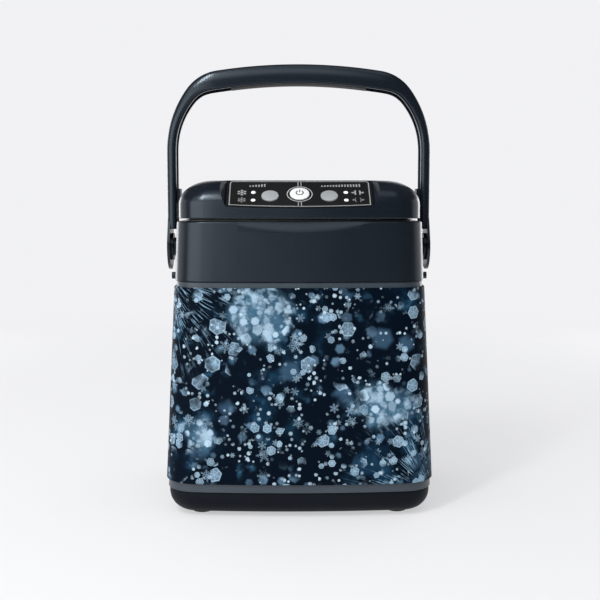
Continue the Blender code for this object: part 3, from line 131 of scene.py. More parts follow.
def dress(tree, shader, colour, rough, height, strength, depth):
    bump = tree.nodes.new("ShaderNodeBump")
    for socket, value in (("Strength", strength), ("Distance", depth), ("Height", height)):
        feed(tree, bump.inputs[socket], value)
    for socket, value in (("Base Color", colour), ("Roughness", rough), ("Normal", bump.outputs["Normal"])):
        feed(tree, shader.inputs[socket], value)

# The rim colour is painted shade, laid on a piece above a level where it sits in the dark gap under the lid
mould = {"cloud": 22.0, "fleck": 0.7, "weights": (0.6, 0.4), "band": (0.35, 0.65), "smear": 34.0,
         "smearStretch": (1.0, 1.0, 0.35), "rim": (0.010, 0.011, 0.013)}


def mouldedFinish(name, dark, light, rough, grain, depth, strength, settings=None, paintedShadeLevel=None):
    material, tree, shader = newFinish(name, settings or {})
    place = objectPlace(tree)
    cloud = noiseField(tree, place, mould["cloud"], 4.0)
    fleck = noiseField(tree, place, grain * mould["fleck"], 2.0)
    parts = [timesStep(tree, field, weight) for field, weight in zip((cloud, fleck), mould["weights"])]
    colour = mixColour(tree, smoothBand(tree, mathStep(tree, "ADD", *parts), *mould["band"]), dark, light)
    if paintedShadeLevel:  # painted shade: a dark band laid on above that level, for the shaded gap under the lid
        above = mathStep(tree, "GREATER_THAN", axesOf(tree, place)[2], paintedShadeLevel)
        colour = mixColour(tree, above, colour, mould["rim"])
    smear = spread(tree, noiseField(tree, place, mould["smear"], 3.0, mould["smearStretch"]), *rough)
    dress(tree, shader, colour, smear, noiseField(tree, place, grain, 2.0), strength, depth)
    return material


# Slot, darkest and lightest colour, range of roughness, then bumps per metre, their height and strength, the
# shader's other settings and the level above which painted shade darkens the colour
navy, navyTint = ((0.0052, 0.0075, 0.0120), (0.0068, 0.0096, 0.0150)), {"Specular Tint": (0.74, 0.88, 1, 1)}
offWhite = ((0.62, 0.635, 0.65), (0.71, 0.72, 0.73), (0.32, 0.46))
plainLooks = {
    "navyGloss": ("navy_gloss", *navy, (0.20, 0.27), 1100.0, 0.00001, 0.1, navyTint),
    "navySatin": ("navy_gloss", *navy, (0.24, 0.34), 1300.0, 0.00003, 0.3, navyTint),
    "navyMatt": ("navy_gloss", (0.0033, 0.0048, 0.0082), (0.0045, 0.0064, 0.0106), (0.46, 0.56),
                 1300.0, 0.00003, 0.3, {"Specular IOR Level": 0.10}),
    "greySatin": ("grey_satin", (0.027, 0.039, 0.053), (0.036, 0.050, 0.066), (0.30, 0.42),
                  1500.0, 0.00005, 0.35),
    "panelBlack": ("panel_black", (0.0045, 0.0047, 0.0054), (0.0090, 0.0092, 0.0100), (0.50, 0.64),
                   2600.0, 0.00004, 0.5, {"Specular IOR Level": 0.2}),
    "whiteButton": ("button_white", (0.65, 0.66, 0.665), (0.72, 0.73, 0.735), (0.30, 0.42),
                    2400.0, 0.00003, 0.3),
    "greyButton": ("button_grey", (0.215, 0.238, 0.248), (0.305, 0.330, 0.338), (0.42, 0.56),
                   2600.0, 0.00004, 0.4),
    "greyPrint": ("panel_black", (0.36, 0.365, 0.37), (0.44, 0.445, 0.45), (0.45, 0.55),
                  2400.0, 0.00001, 0.3),
    "dimPrint": ("panel_black", (0.24, 0.245, 0.25), (0.30, 0.305, 0.31), (0.45, 0.55),
                 2400.0, 0.00001, 0.3),
    "darkPrint": ("button_white", (0.045, 0.047, 0.05), (0.065, 0.068, 0.07), (0.45, 0.55),
                  2400.0, 0.00001, 0.3),
    "softRubber": ("seal_rubber", (0.013, 0.013, 0.014), (0.021, 0.021, 0.022), (0.62, 0.80),
                   1800.0, 0.00008, 0.5),
    # The liner's flange top, above this level, is darkened with painted shade for the gap under the lid
    "linerWhite": ("liner_white", *offWhite, 900.0, 0.00004, 0.3, None, 0.2553),
    "tubWhite": ("liner_white", *offWhite, 900.0, 0.00004, 0.3),
    "foamCream": ("foam_cream", (0.60, 0.54, 0.40), (0.74, 0.69, 0.55), (0.82, 0.95),
                  700.0, 0.0004, 0.8),
    "innerBlack": ("inner_black", (0.015, 0.0155, 0.0165), (0.026, 0.0265, 0.028), (0.40, 0.56),
                   1600.0, 0.00006, 0.4),
    "milkyTube": ("hose_clear", (0.52, 0.57, 0.60), (0.62, 0.66, 0.69), (0.22, 0.34),
                  600.0, 0.00003, 0.3, {"Transmission Weight": 0.35}),
}
# Finishes with a pattern of their own; bump holds the bumps' strength and height
otherLooks = {
    "milkyLamp": {"slot": "lamp_clear", "cloud": 900.0, "dark": (0.74, 0.75, 0.76),
                  "light": (0.84, 0.85, 0.86), "rough": 0.25, "bump": (0.3, 0.00003)},
    "turnedSteel": {"slot": "steel", "lines": 1200.0, "stretch": (0.15, 0.15, 1.0),
                    "dark": (0.47, 0.48, 0.49), "light": (0.62, 0.63, 0.64), "rough": (0.22, 0.40),
                    "bump": (0.3, 0.00003)},
    "boardGreen": {"slot": "board_green", "cells": 260.0, "stains": 60.0, "dark": (0.012, 0.095, 0.040),
                   "light": (0.020, 0.130, 0.060), "run": (0.050, 0.230, 0.110), "runBand": (0.10, 0.04),
                   "rough": (0.45, 0.30), "bump": (0.4, 0.00005)},
}


def newLampFinish():
    look = otherLooks["milkyLamp"]
    material, tree, shader = newFinish("milkyLamp", {"IOR": 1.45})
    cloud = noiseField(tree, objectPlace(tree), look["cloud"])
    colour = mixColour(tree, cloud, look["dark"], look["light"])
    dress(tree, shader, colour, look["rough"], cloud, *look["bump"])
    return material


def newSteelFinish():
    look = otherLooks["turnedSteel"]
    material, tree, shader = newFinish("turnedSteel", {"Metallic": 1.0})
    lines = noiseField(tree, objectPlace(tree), look["lines"], 3.0, look["stretch"])
    colour = mixColour(tree, lines, look["dark"], look["light"])
    dress(tree, shader, colour, spread(tree, lines, *look["rough"]), lines, *look["bump"])
    return material


def newBoardFinish():  # green lacquer over copper runs
    look = otherLooks["boardGreen"]
    material, tree, shader = newFinish("boardGreen", {})
    place = objectPlace(tree)
    cells = tree.nodes.new("ShaderNodeTexVoronoi")
    cells.distance = "MANHATTAN"
    cells.feature = "DISTANCE_TO_EDGE"
    cells.inputs["Scale"].default_value = look["cells"]
    tree.links.new(place, cells.inputs["Vector"])
    run = smoothBand(tree, cells.outputs["Distance"], *look["runBand"])
    stain = mixColour(tree, noiseField(tree, place, look["stains"]), look["dark"], look["light"])
    colour = mixColour(tree, run, stain, look["run"])
    dress(tree, shader, colour, spread(tree, run, *look["rough"]), run, *look["bump"])
    return material


# Frost print of the sleeve, on its own UV map in metres: drifts of snow crystals over a dark sky. Each cloud
# field has its scale, detail and stretch
flat = (1.0, 1.0, 0.0)
frostPrint = {
    "cloud": (11.0, 6.0, flat), "haze": (44.0, 5.0, (1.0, 0.8, 0.0)), "smoke": (90.0, 4.0, flat),
    "shine": 0.04, "deep": (0.0003, 0.0034, 0.0095), "middle": (0.0040, 0.0230, 0.0500),
    "pale": (0.026, 0.084, 0.150), "halo": (0.050, 0.125, 0.200), "glow": (0.40, 0.55, 0.68),
    "needle": (0.230, 0.380, 0.510), "rough": (0.40, 0.55), "grain": 700.0, "bump": (0.15, 0.00002),
    # Cells per metre, reach and line of a crystal in cells, share shown, colour; a soft crystal has no line
    "layers": (
        (38.0, 0.46, 0.0, 0.42, (0.040, 0.090, 0.155)),
        (80.0, 0.47, 0.0, 0.44, (0.092, 0.172, 0.262)),
        (64.0, 0.46, 0.050, 0.62, (0.260, 0.395, 0.520)),
        (112.0, 0.45, 0.065, 0.54, (0.320, 0.470, 0.600)),
        (230.0, 0.42, 0.110, 0.34, (0.460, 0.610, 0.730)),
    ),
    "shift": (0.37, 0.23), "bankScale": (15.0, 5.0), "blurred": (105.0, 0.62, 0.0, 0.80),
    "blurredShift": (2.1, 0.9, 0.0), "ragged": 1.1, "haloShare": 0.85, "paleShare": 0.7,
    "fan": (11.0, 12.0), "fanNoise": 1.6, "needleShare": 0.8,
    "needleSpots": ((-0.128, 0.010), (0.130, 0.216), (0.335, -0.010), (-0.310, 0.232)),
    "glowSpots": ((-0.070, 0.100, 0.026), (0.034, 0.178, 0.030), (0.088, 0.072, 0.017),
                  (-0.235, 0.140, 0.036), (0.230, 0.080, 0.034), (0.400, 0.130, 0.030),
                  (-0.400, 0.120, 0.030)),
}
frostBands = {"cloud": (0.42, 0.64), "haze": (0.38, 0.66), "mist": (0.02, 0.75), "wispHaze": (0.53, 0.72),
              "wispSmoke": (0.45, 0.64), "bank": (0.46, 0.55), "ridge": (0.032, 0.010),
              "fan": (0.105, 0.050), "needleSmoke": (0.40, 0.58), "glow": (1.1, 0.3),
              "paleSmoke": (0.46, 0.66), "drift": (0.15, 0.75)}
# Form of one crystal; the twigs' sizes are shares of its line
crystal = {"randomness": 0.85, "least": 0.35, "edge": 0.03, "softEdge": 0.18, "armTaper": 0.4,
           "slant": (0.866, 0.5), "twigPitch": 0.06, "twig": (0.5, 0.15), "twigReach": 0.8,
           "twigEdge": (-0.01, 0.03), "rim": (0.10, 0.05), "plateTone": 0.46, "plates": 0.40, "starTone": 0.9,
           "faintest": 0.35}


def polarPlace(tree, flatVector):
    radius = vectorStep(tree, "LENGTH", flatVector, output=1)
    axes = axesOf(tree, flatVector)
    return radius, mathStep(tree, "ARCTAN2", axes[1], axes[0])


def crystalLayer(tree, place, density, reach, line, share):  # one crystal to a cell
    scaled = vectorStep(tree, "MULTIPLY", place, (density, density, 0.0))
    cells = tree.nodes.new("ShaderNodeTexVoronoi")
    cells.voronoi_dimensions = "2D"
    cells.inputs["Scale"].default_value = 1.0
    cells.inputs["Randomness"].default_value = crystal["randomness"]
    tree.links.new(scaled, cells.inputs["Vector"])
    split = tree.nodes.new("ShaderNodeSeparateColor")  # three random numbers for each cell
    tree.links.new(cells.outputs["Color"], split.inputs[0])
    turnDraw, sizeDraw, shareDraw = split.outputs
    radius, turn = polarPlace(tree, vectorStep(tree, "SUBTRACT", scaled, cells.outputs["Position"]))
    turn = mathStep(tree, "ADD", turn, timesStep(tree, turnDraw, math.pi))
    sector = mathStep(tree, "PINGPONG", turn, math.pi / 6)  # folds the plane into six equal arms
    along = timesStep(tree, radius, mathStep(tree, "COSINE", sector))
    across = timesStep(tree, radius, mathStep(tree, "SINE", sector))
    size = spread(tree, sizeDraw, reach * crystal["least"], reach)
    spare = mathStep(tree, "SUBTRACT", size, along)
    shape = smoothBand(tree, spare, 0.0, crystal["edge" if line else "softEdge"])
    if line:
        arm = smoothBand(tree, across, line, line * crystal["armTaper"])
        run, rise = [timesStep(tree, *pair) for pair in zip((along, across), crystal["slant"])]
        slant = mathStep(tree, "PINGPONG", mathStep(tree, "SUBTRACT", run, rise), crystal["twigPitch"])
        twig = smoothBand(tree, slant, *[line * part for part in crystal["twig"]])
        room = mathStep(tree, "SUBTRACT", timesStep(tree, spare, crystal["twigReach"]), across)
        twig = timesStep(tree, twig, smoothBand(tree, room, *crystal["twigEdge"]))
        star = timesStep(tree, mathStep(tree, "MAXIMUM", arm, twig), crystal["starTone"])
        rim = spread(tree, smoothBand(tree, spare, *crystal["rim"]), crystal["plateTone"], 1.0)
        plate = timesStep(tree, mathStep(tree, "GREATER_THAN", turnDraw, crystal["plates"]), rim)
        shape = timesStep(tree, shape, mathStep(tree, "MAXIMUM", star, plate))
    shown = mathStep(tree, "LESS_THAN", shareDraw, share)
    return timesStep(tree, shape, shown, spread(tree, turnDraw, crystal["faintest"], 1.0))


def newFrostPrint():
    material, tree, shader = newFinish("frostPrint", {"Specular IOR Level": frostPrint["shine"]})

    def band(value, name):
        return smoothBand(tree, value, *frostBands[name])

    chart = tree.nodes.new("ShaderNodeUVMap")
    chart.uv_map = "sleevePrint"
    place = chart.outputs["UV"]
    cloud, haze, smoke = [noiseField(tree, place, *frostPrint[field]) for field in ("cloud", "haze", "smoke")]
    mist = timesStep(tree, band(cloud, "cloud"), band(haze, "haze"))
    colour = mixColour(tree, band(mist, "mist"), frostPrint["deep"], frostPrint["middle"])
    wisp = timesStep(tree, band(haze, "wispHaze"), band(smoke, "wispSmoke"))
    colour = mixColour(tree, wisp, colour, frostPrint["pale"])
    firstScale, scaleStep = frostPrint["bankScale"]
    for index, (*look, tone) in enumerate(frostPrint["layers"]):
        shift = [step * (index + 1) for step in frostPrint["shift"]]
        shifted = vectorStep(tree, "ADD", place, (*shift, 0.0))
        bank = noiseField(tree, shifted, firstScale + scaleStep * index, 3.0, flat)
        layer = timesStep(tree, crystalLayer(tree, shifted, *look), band(bank, "bank"))
        colour = mixColour(tree, layer, colour, tone)
    for spot in frostPrint["needleSpots"]:  # frost needles that fan out from a few spots
        radius, turn = polarPlace(tree, vectorStep(tree, "SUBTRACT", place, (*spot, 0.0)))
        fan = tree.nodes.new("ShaderNodeCombineXYZ")
        for socket, value, scale in zip(fan.inputs, (turn, radius), frostPrint["fan"]):
            tree.links.new(timesStep(tree, value, scale), socket)
        ridge = noiseField(tree, fan.outputs[0], frostPrint["fanNoise"], 1.0)
        ridge = mathStep(tree, "ABSOLUTE", mathStep(tree, "SUBTRACT", ridge, 0.5))
        needle = timesStep(tree, band(ridge, "ridge"), band(radius, "fan"), band(smoke, "needleSmoke"),
                           frostPrint["needleShare"])
        colour = mixColour(tree, needle, colour, frostPrint["needle"])
    glow, ragged = 0.0, spread(tree, haze, frostPrint["ragged"], -frostPrint["ragged"])
    for x, y, size in frostPrint["glowSpots"]:  # pale drifts of crystals, out of focus
        radius, turn = polarPlace(tree, vectorStep(tree, "SUBTRACT", place, (x, y, 0.0)))
        reach = mathStep(tree, "ADD", mathStep(tree, "DIVIDE", radius, size), ragged)
        glow = mathStep(tree, "MAXIMUM", glow, band(reach, "glow"))
    shifted = vectorStep(tree, "ADD", place, frostPrint["blurredShift"])
    blurred = crystalLayer(tree, shifted, *frostPrint["blurred"])
    colour = mixColour(tree, timesStep(tree, glow, frostPrint["haloShare"]), colour, frostPrint["halo"])
    pale = timesStep(tree, band(smoke, "paleSmoke"), frostPrint["paleShare"])
    drift = timesStep(tree, band(glow, "drift"), mathStep(tree, "MAXIMUM", blurred, pale))
    colour = mixColour(tree, drift, colour, frostPrint["glow"])
    grain = noiseField(tree, place, frostPrint["grain"], 2.0)
    dress(tree, shader, colour, spread(tree, haze, *frostPrint["rough"]), grain, *frostPrint["bump"])
    return material


slots = {name: look[0] for name, look in plainLooks.items()}
slots.update({name: look["slot"] for name, look in otherLooks.items()})
slots["frostPrint"] = "wrap_print"
finishes = {name: mouldedFinish(name, *look[1:]) for name, look in plainLooks.items()}
finishes.update({"milkyLamp": newLampFinish(), "turnedSteel": newSteelFinish(),
                 "boardGreen": newBoardFinish(), "frostPrint": newFrostPrint()})
print("finishes made:", len(finishes))


# The moulded outline that the tank, the housing and the lid share: straight sides, bowed front and back
bowRadius = 0.9
cornerSteps, bowSteps = 12, 8
seatGap = 0.0003
leastCorner = 0.004
mergeGap = 0.00001


def blendValue(low, high, share):
    return low + (high - low) * share


def quarterTurns(steps):
    return [math.pi / 2 * step / steps for step in range(steps + 1)]


def arcPoints(centre, radius, start, end, steps):
    turns = [start + (end - start) * step / steps for step in range(steps + 1)]
    return [(centre[0] + radius * math.cos(turn), centre[1] + radius * math.sin(turn)) for turn in turns]


def planRing(z, halfWidth, halfDepth, corner):
    bowCentre = halfDepth - bowRadius
    run = halfWidth - corner
    rise = math.sqrt((bowRadius - corner) ** 2 - run**2)
    turn = math.atan2(rise, run)
    quarter = arcPoints((run, bowCentre + rise), corner, 0, turn, cornerSteps)
    quarter += arcPoints((0, bowCentre), bowRadius, turn, math.pi / 2, bowSteps)[1:]
    ring = quarter + [(-x, y) for x, y in reversed(quarter[:-1])]
    ring += [(-x, -y) for x, y in quarter] + [(x, -y) for x, y in reversed(quarter[:-1])]
    return [(x, y, z) for x, y in ring]


def meshFrom(bm, name):
    bmesh.ops.recalc_face_normals(bm, faces=bm.faces)
    mesh = bpy.data.meshes.new(name)
    bm.to_mesh(mesh)
    bm.free()
    return mesh


def movedMesh(mesh, matrix):
    mesh.transform(matrix)
    return mesh


def joinedMesh(meshes):
    bm = bmesh.new()
    for mesh in meshes:
        bm.from_mesh(mesh)
        bpy.data.meshes.remove(mesh)
    joined = bpy.data.meshes.new("joined")
    bm.to_mesh(joined)
    bm.free()
    return joined


def loftMesh(rings, closed=False):
    bm = bmesh.new()
    rows = [[bm.verts.new(point) for point in ring] for ring in rings]
    pairs = list(zip(rows, rows[1:])) + ([(rows[-1], rows[0])] if closed else [])
    for lower, upper in pairs:
        for index in range(len(lower)):
            follow = (index + 1) % len(lower)
            bm.faces.new((lower[index], lower[follow], upper[follow], upper[index]))
    if not closed:
        bm.faces.new(rows[0])
        bm.faces.new(rows[-1])
    return meshFrom(bm, "loft")


def barMesh(radius, low, high, segments, matrix):  # a round bar along Z
    bm = bmesh.new()
    at = Matrix.Translation((0, 0, (low + high) / 2))
    bmesh.ops.create_cone(bm, cap_ends=True, segments=segments, radius1=radius, radius2=radius,
                          depth=high - low, matrix=matrix @ at)
    return meshFrom(bm, "bar")


def barsAt(spots, radius, low, high, segments, place=Matrix()):
    return [barMesh(radius, low, high, segments, place @ Matrix.Translation((x, y, 0))) for x, y in spots]


def sideBars(radius, low, high, z, y=0, segments=40):  # the same bar along X on both sides
    places = [Matrix.Translation((0, y, z)) @ Matrix.Rotation(sign * math.pi / 2, 4, "Y") for sign in (-1, 1)]
    return [barMesh(radius, low, high, segments, place) for place in places]


def cornersOf(x, y):
    return [(-x, -y), (-x, y), (x, -y), (x, y)]


def blockMesh(low, high, matrix=Matrix()):
    low, high = Vector(low), Vector(high)
    bm = bmesh.new()
    bmesh.ops.create_cube(bm, size=1, matrix=matrix @ Matrix.Translation((high + low) / 2)
                          @ Matrix.Diagonal((*(high - low), 1)))
    return meshFrom(bm, "block")


def slabMesh(outline, low, high, matrix=Matrix()):  # a flat outline in XY, thickened from low to high
    return movedMesh(loftMesh([[(x, y, z) for x, y in outline] for z in (low, high)]), matrix)


def latheMesh(profile, segments, matrix=Matrix()):  # (radius, height) pairs turned about Z
    bm = bmesh.new()
    turns = [math.tau * step / segments for step in range(segments)]
    rows = []
    for radius, height in profile:
        spots = [(radius * math.cos(turn), radius * math.sin(turn), height) for turn in turns]
        rows.append([bm.verts.new(spot) for spot in (spots if radius else [(0, 0, height)])])
    for lower, upper in zip(rows, rows[1:]):
        for index in range(segments):
            follow = (index + 1) % segments
            corners = [lower[index % len(lower)], lower[follow % len(lower)], upper[follow % len(upper)],
                       upper[index % len(upper)]]
            corners = list(dict.fromkeys(corners))  # three where a row is one point on the axis
            if len(corners) > 2:
                bm.faces.new(corners)
    return movedMesh(meshFrom(bm, "turned"), matrix)


def roundedEdge(radius, level, bend, steps, sense=-1):  # of a turned profile
    return [(radius - bend + bend * math.sin(turn), level + sense * bend * (1 - math.cos(turn)))
            for turn in quarterTurns(steps)]


def ribbonMesh(points, width, low, high, closed=False):  # a flat drawn line of even width, mitred
    spots = [Vector(point) for point in points]
    start, end = (spots[-1], spots[0]) if closed else (spots[0], spots[-1])
    rows = []
    for before, here, after in zip([start] + spots, spots, spots[1:] + [end]):
        arrive, leave = here - before, after - here
        first = (arrive if arrive.length else leave).normalized()
        second = (leave if leave.length else arrive).normalized()
        side = (first + second).orthogonal().normalized()
        reach = side * (width / 2 / max(side.dot(second.orthogonal()), 0.5))
        left, right = here + reach, here - reach
        rows.append([(*left, low), (*right, low), (*right, high), (*left, high)])
    return loftMesh(rows, closed)


def newObject(name, mesh):
    obj = bpy.data.objects.new(name, mesh)
    bpy.context.scene.collection.objects.link(obj)
    return obj


def settle(obj):  # turns what the modifiers give into the object's plain mesh
    bpy.context.view_layer.update()
    settled = bpy.data.meshes.new_from_object(obj.evaluated_get(bpy.context.evaluated_depsgraph_get()))
    old = obj.data
    obj.modifiers.clear()
    obj.data = settled
    bpy.data.meshes.remove(old)


def settledMesh(obj):
    settle(obj)
    mesh = obj.data.copy()
    bpy.data.meshes.remove(obj.data)
    return mesh


def carvedMesh(mesh, *steps):  # steps are (operation, mesh or list of meshes) pairs
    obj = newObject("blank", mesh)
    tools = []
    for operation, part in steps:
        tools.append(newObject("tool", joinedMesh(part) if isinstance(part, list) else part))
        modifier = obj.modifiers.new(operation.lower(), "BOOLEAN")
        modifier.operation = operation
        modifier.object = tools[-1]
        modifier.solver = "EXACT"
    carved = settledMesh(obj)
    for tool in tools:
        bpy.data.meshes.remove(tool.data)
    return carved


def addPiece(name, mesh, finish, body, *nodes, sharp=30, rounding=None):
    obj = newObject(name, mesh)
    bm = bmesh.new()
    bm.from_mesh(mesh)
    bmesh.ops.remove_doubles(bm, verts=bm.verts, dist=mergeGap)
    bmesh.ops.dissolve_degenerate(bm, edges=bm.edges, dist=mergeGap)
    bm.to_mesh(mesh)
    bm.free()
    mesh.name = name
    mesh.materials.clear()
    mesh.materials.append(finishes[finish])
    mesh.shade_smooth()
    mesh.set_sharp_from_angle(angle=math.radians(sharp))
    if rounding:
        edge = obj.modifiers.new("softEdge", "BEVEL")
        edge.width = rounding
        edge.segments = 2
        edge.limit_method = "ANGLE"
        edge.angle_limit = math.radians(sharp)
        edge.harden_normals = True
        settle(obj)
    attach(obj, body)
    if nodes:
        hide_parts(*nodes)


# Levels in metres above the floor; low and high hold a moulding's width, depth and corner at its two ends
levels = {"base": 0.002, "baseTop": 0.0224, "shell": 0.0227, "wrap": 0.0302, "wrapTop": 0.1990,
          "shellTop": 0.2037, "collar": 0.2040, "collarTop": 0.2552, "lid": 0.2577, "lidTop": 0.2906}
shell = {"low": (0.235, 0.200, 0.030), "high": (0.219, 0.185, 0.027), "wall": 0.0026, "edge": 0.0004,
         "sleeve": 0.0020, "sleeveEdge": 0.0005, "baseInset": 0.0012, "baseRound": 0.018}
foot = {"radius": 0.009, "recess": 0.0012, "inset": 0.031, "round": 0.0009, "dimple": 0.0006,
        "dimpleRun": (0.5, 0.62)}
cornerNames = ("front_left", "front_right", "rear_left", "rear_right")
beyond = 0.003  # how far a cutter reaches past what it cuts


def taperedSize(piece, share, inset):
    width, depth, corner = [blendValue(low, high, share) for low, high in zip(piece["low"], piece["high"])]
    return width / 2 - inset, depth / 2 - inset, max(corner - inset, leastCorner)


def shellSize(z, inset=0.0):
    share = (z - levels["wrap"]) / (levels["wrapTop"] - levels["wrap"])
    return taperedSize(shell, share, shell["sleeve"] + inset)


def shellRings(stations):
    return [planRing(z, *shellSize(z, inset)) for z, inset in stations]


def bottomRings(wall, steps):  # the rounded lower edge, a wall's thickness inside
    radius, low, inset = shell["baseRound"] - wall, levels["base"] + wall, shell["baseInset"] + wall
    return shellRings([(low + radius * (1 - math.sin(turn)), inset + radius * (1 - math.cos(turn)))
                       for turn in reversed(quarterTurns(steps))])


# Bottom moulding, a tray with a rounded edge
footX, footY = [half - foot["inset"] for half in shellSize(levels["base"])[:2]]
top, edge, inset, wall = levels["baseTop"], shell["edge"], shell["baseInset"], shell["wall"]
outer = bottomRings(0.0, 12) + shellRings([(top - edge, inset), (top, inset + edge)])
inner = bottomRings(wall, 6) + shellRings([(top, inset + wall)])
footTop = levels["base"] + foot["recess"]
recesses = barsAt(cornersOf(footX, footY), foot["radius"] + seatGap, -beyond, footTop, 40)
mesh = carvedMesh(loftMesh(outer + inner[::-1]), ("DIFFERENCE", recesses))
addPiece("baseMoulding", mesh, "navyMatt", "tank", "base_shell")

# Grey shell, of which two strips show above and below the sleeve
low, top = levels["shell"], levels["shellTop"]
rings = shellRings([(low, edge), (low + edge, 0), (top - edge, 0), (top, edge), (top, wall), (low, wall)])
addPiece("greyShell", loftMesh(rings, closed=True), "greySatin", "tank", "mid_shell")

# Printed sleeve: its UV map holds the run round it from the front's middle and the height, in metres
low, top, edge, sleeve = levels["wrap"], levels["wrapTop"], shell["sleeveEdge"], shell["sleeve"]
lip = [(0.0, -seatGap), (0.0, edge - sleeve), (edge * 0.4, edge * 0.4 - sleeve), (edge, -sleeve)]
stations = [(low + rise, inset) for rise, inset in lip]
stations += [(low + (top - low) * step / 24, -sleeve) for step in range(1, 24)]
stations += [(top - rise, inset) for rise, inset in reversed(lip)]
rearIndex = cornerSteps + bowSteps  # the ring's point at the middle of the rear
rings = [ring[rearIndex:] + ring[:rearIndex] for ring in shellRings(stations)]
count = len(rings[0])
mesh = loftMesh(rings, closed=True)
runs = []
for ring in rings:
    steps = [(Vector(follow) - Vector(point)).length for point, follow in zip(ring, ring[1:] + ring[:1])]
    runs.append([sum(steps[:index]) - sum(steps) / 2 for index in range(count + 1)])
layer = mesh.uv_layers.new(name="sleevePrint")
for face in mesh.polygons:
    columns = [vertex % count for vertex in face.vertices]
    for loop, vertex, column in zip(face.loop_indices, face.vertices, columns):
        if column == 0 and max(columns) == count - 1:
            column = count
        row = vertex // count
        layer.data[loop].uv = (-runs[row][column], rings[row][0][2])
addPiece("printedSleeve", mesh, "frostPrint", "tank", "printed_wrap")
print("tank mouldings done")


def newGridTree():  # repeats the piece at the corners of an oblong, then lays the oblong in its place
    tree = bpy.data.node_groups.new("repeatOnGrid", "GeometryNodeTree")
    kinds = {"Geometry": "Geometry", "Spread X": "Float", "Spread Y": "Float", "Middle": "Vector",
             "Turn": "Vector", "Finish": "Material"}
    for name, kind in kinds.items():
        tree.interface.new_socket(name=name, in_out="INPUT", socket_type="NodeSocket" + kind)
    tree.interface.new_socket(name="Geometry", in_out="OUTPUT", socket_type="NodeSocketGeometry")
    kinds = {"entry": "NodeGroupInput", "grid": "GeometryNodeMeshGrid",
             "spots": "GeometryNodeInstanceOnPoints", "lay": "GeometryNodeTransform",
             "solid": "GeometryNodeRealizeInstances", "paint": "GeometryNodeSetMaterial",
             "leave": "NodeGroupOutput"}
    nodes = {name: tree.nodes.new(kind) for name, kind in kinds.items()}
    for side in ("Vertices X", "Vertices Y"):
        nodes["grid"].inputs[side].default_value = 2
    for start, given, end, taken in (
        ("entry", "Spread X", "grid", "Size X"),
        ("entry", "Spread Y", "grid", "Size Y"),
        ("grid", "Mesh", "spots", "Points"),
        ("entry", "Geometry", "spots", "Instance"),
        ("spots", "Instances", "lay", "Geometry"),
        ("entry", "Turn", "lay", "Rotation"),
        ("entry", "Middle", "lay", "Translation"),
        ("lay", "Geometry", "solid", "Geometry"),
        ("solid", "Geometry", "paint", "Geometry"),
        ("entry", "Finish", "paint", "Material"),
        ("paint", "Geometry", "leave", "Geometry"),
    ):
        tree.links.new(nodes[start].outputs[given], nodes[end].inputs[taken])
    return tree


gridTree = newGridTree()


def repeatedMesh(mesh, finish, spreadX, spreadY, middle=(0.0, 0.0, 0.0), turn=(0.0, 0.0, 0.0)):
    obj = newObject("repeat", mesh)
    modifier = obj.modifiers.new("repeat", "NODES")
    modifier.node_group = gridTree
    values = {"Spread X": spreadX, "Spread Y": spreadY, "Middle": middle, "Turn": turn,
              "Finish": finishes[finish]}
    for item in gridTree.interface.items_tree:
        if item.in_out == "INPUT" and item.name in values:
            modifier[item.identifier] = values[item.name]
    return settledMesh(obj)


# Rubber feet, each with a rounded edge and a shallow dimple underneath
radius, low, top = foot["radius"], foot["dimple"], footTop - seatGap
dimpleFloor, dimpleRim = [radius * share for share in foot["dimpleRun"]]
profile = [(0, low), (dimpleFloor, low), (dimpleRim, 0)] + roundedEdge(radius, 0, foot["round"], 6, sense=1)
mesh = latheMesh(profile + [(radius, top), (0, top)], 48)
mesh = repeatedMesh(mesh, "softRubber", footX * 2, footY * 2)
addPiece("rubberFeet", mesh, "softRubber", "tank", *["foot_" + corner for corner in cornerNames])

# Upper housing: a rolled top edge with a finger scoop in front, bosses for the handle, stops for its arms
housing = {"low": (0.2174, 0.1834, 0.027), "high": (0.2138, 0.1802, 0.027), "wall": 0.004, "deck": 0.006,
           "edge": 0.0012, "mouth": 0.0135, "lowEdge": 0.0005}
scoop = {"height": 0.0088, "depth": 0.0046, "width": 0.124}
pivot = {"height": 0.2305, "standoff": 0.0130, "plateInset": 0.0004, "hubThickness": 0.0046,
         "hubRadius": 0.0125, "bossRadius": 0.0084, "pinRadius": 0.0040, "pinLength": 0.0118,
         "headRadius": 0.0090, "headThickness": 0.0024, "headRound": 0.0006, "headProud": 0.0007,
         "headDimple": 0.0003, "dimpleRun": (0.45, 0.52)}
stop = {"radius": 0.0030, "reach": 0.0036, "offset": 0.055, "height": 0.0035}


def housingSize(z, inset=0.0):
    return taperedSize(housing, (z - levels["collar"]) / (levels["collarTop"] - levels["collar"]), inset)


axle = pivot["height"]
handleHalf = housingSize(axle)[0] + pivot["standoff"]
plateFace = handleHalf - pivot["plateInset"]
hubFace = plateFace - pivot["hubThickness"]
bossFace = hubFace - seatGap
headFace = plateFace + pivot["headProud"]
headSeat = headFace - pivot["headThickness"]
pinEnd = headSeat - pivot["pinLength"]


def scoopCutter():
    top, low = levels["collarTop"], levels["collarTop"] - scoop["height"]
    yTop, yLow = scoop["depth"] - housingSize(top)[1], -housingSize(low)[1]
    lean = math.atan2(yTop - yLow, scoop["height"])
    sag = (scoop["depth"] - (scoop["width"] / 2) ** 2 / (2 * bowRadius)) * math.cos(lean)
    radius = (scoop["width"] / 2) ** 2 / (2 * sag)
    reach = math.asin((scoop["width"] / 2 + scoop["depth"]) / radius)
    outline = arcPoints((0, -radius), radius, math.pi / 2 - reach, math.pi / 2 + reach, 48)
    outline += [(-scoop["width"], -scoop["width"] / 2), (scoop["width"], -scoop["width"] / 2)]
    middle = Matrix.Translation((0, (yTop + yLow) / 2, (top + low) / 2)) @ Matrix.Rotation(-lean, 4, "X")
    return slabMesh(outline, -scoop["height"] * 2, scoop["height"] * 2, middle)


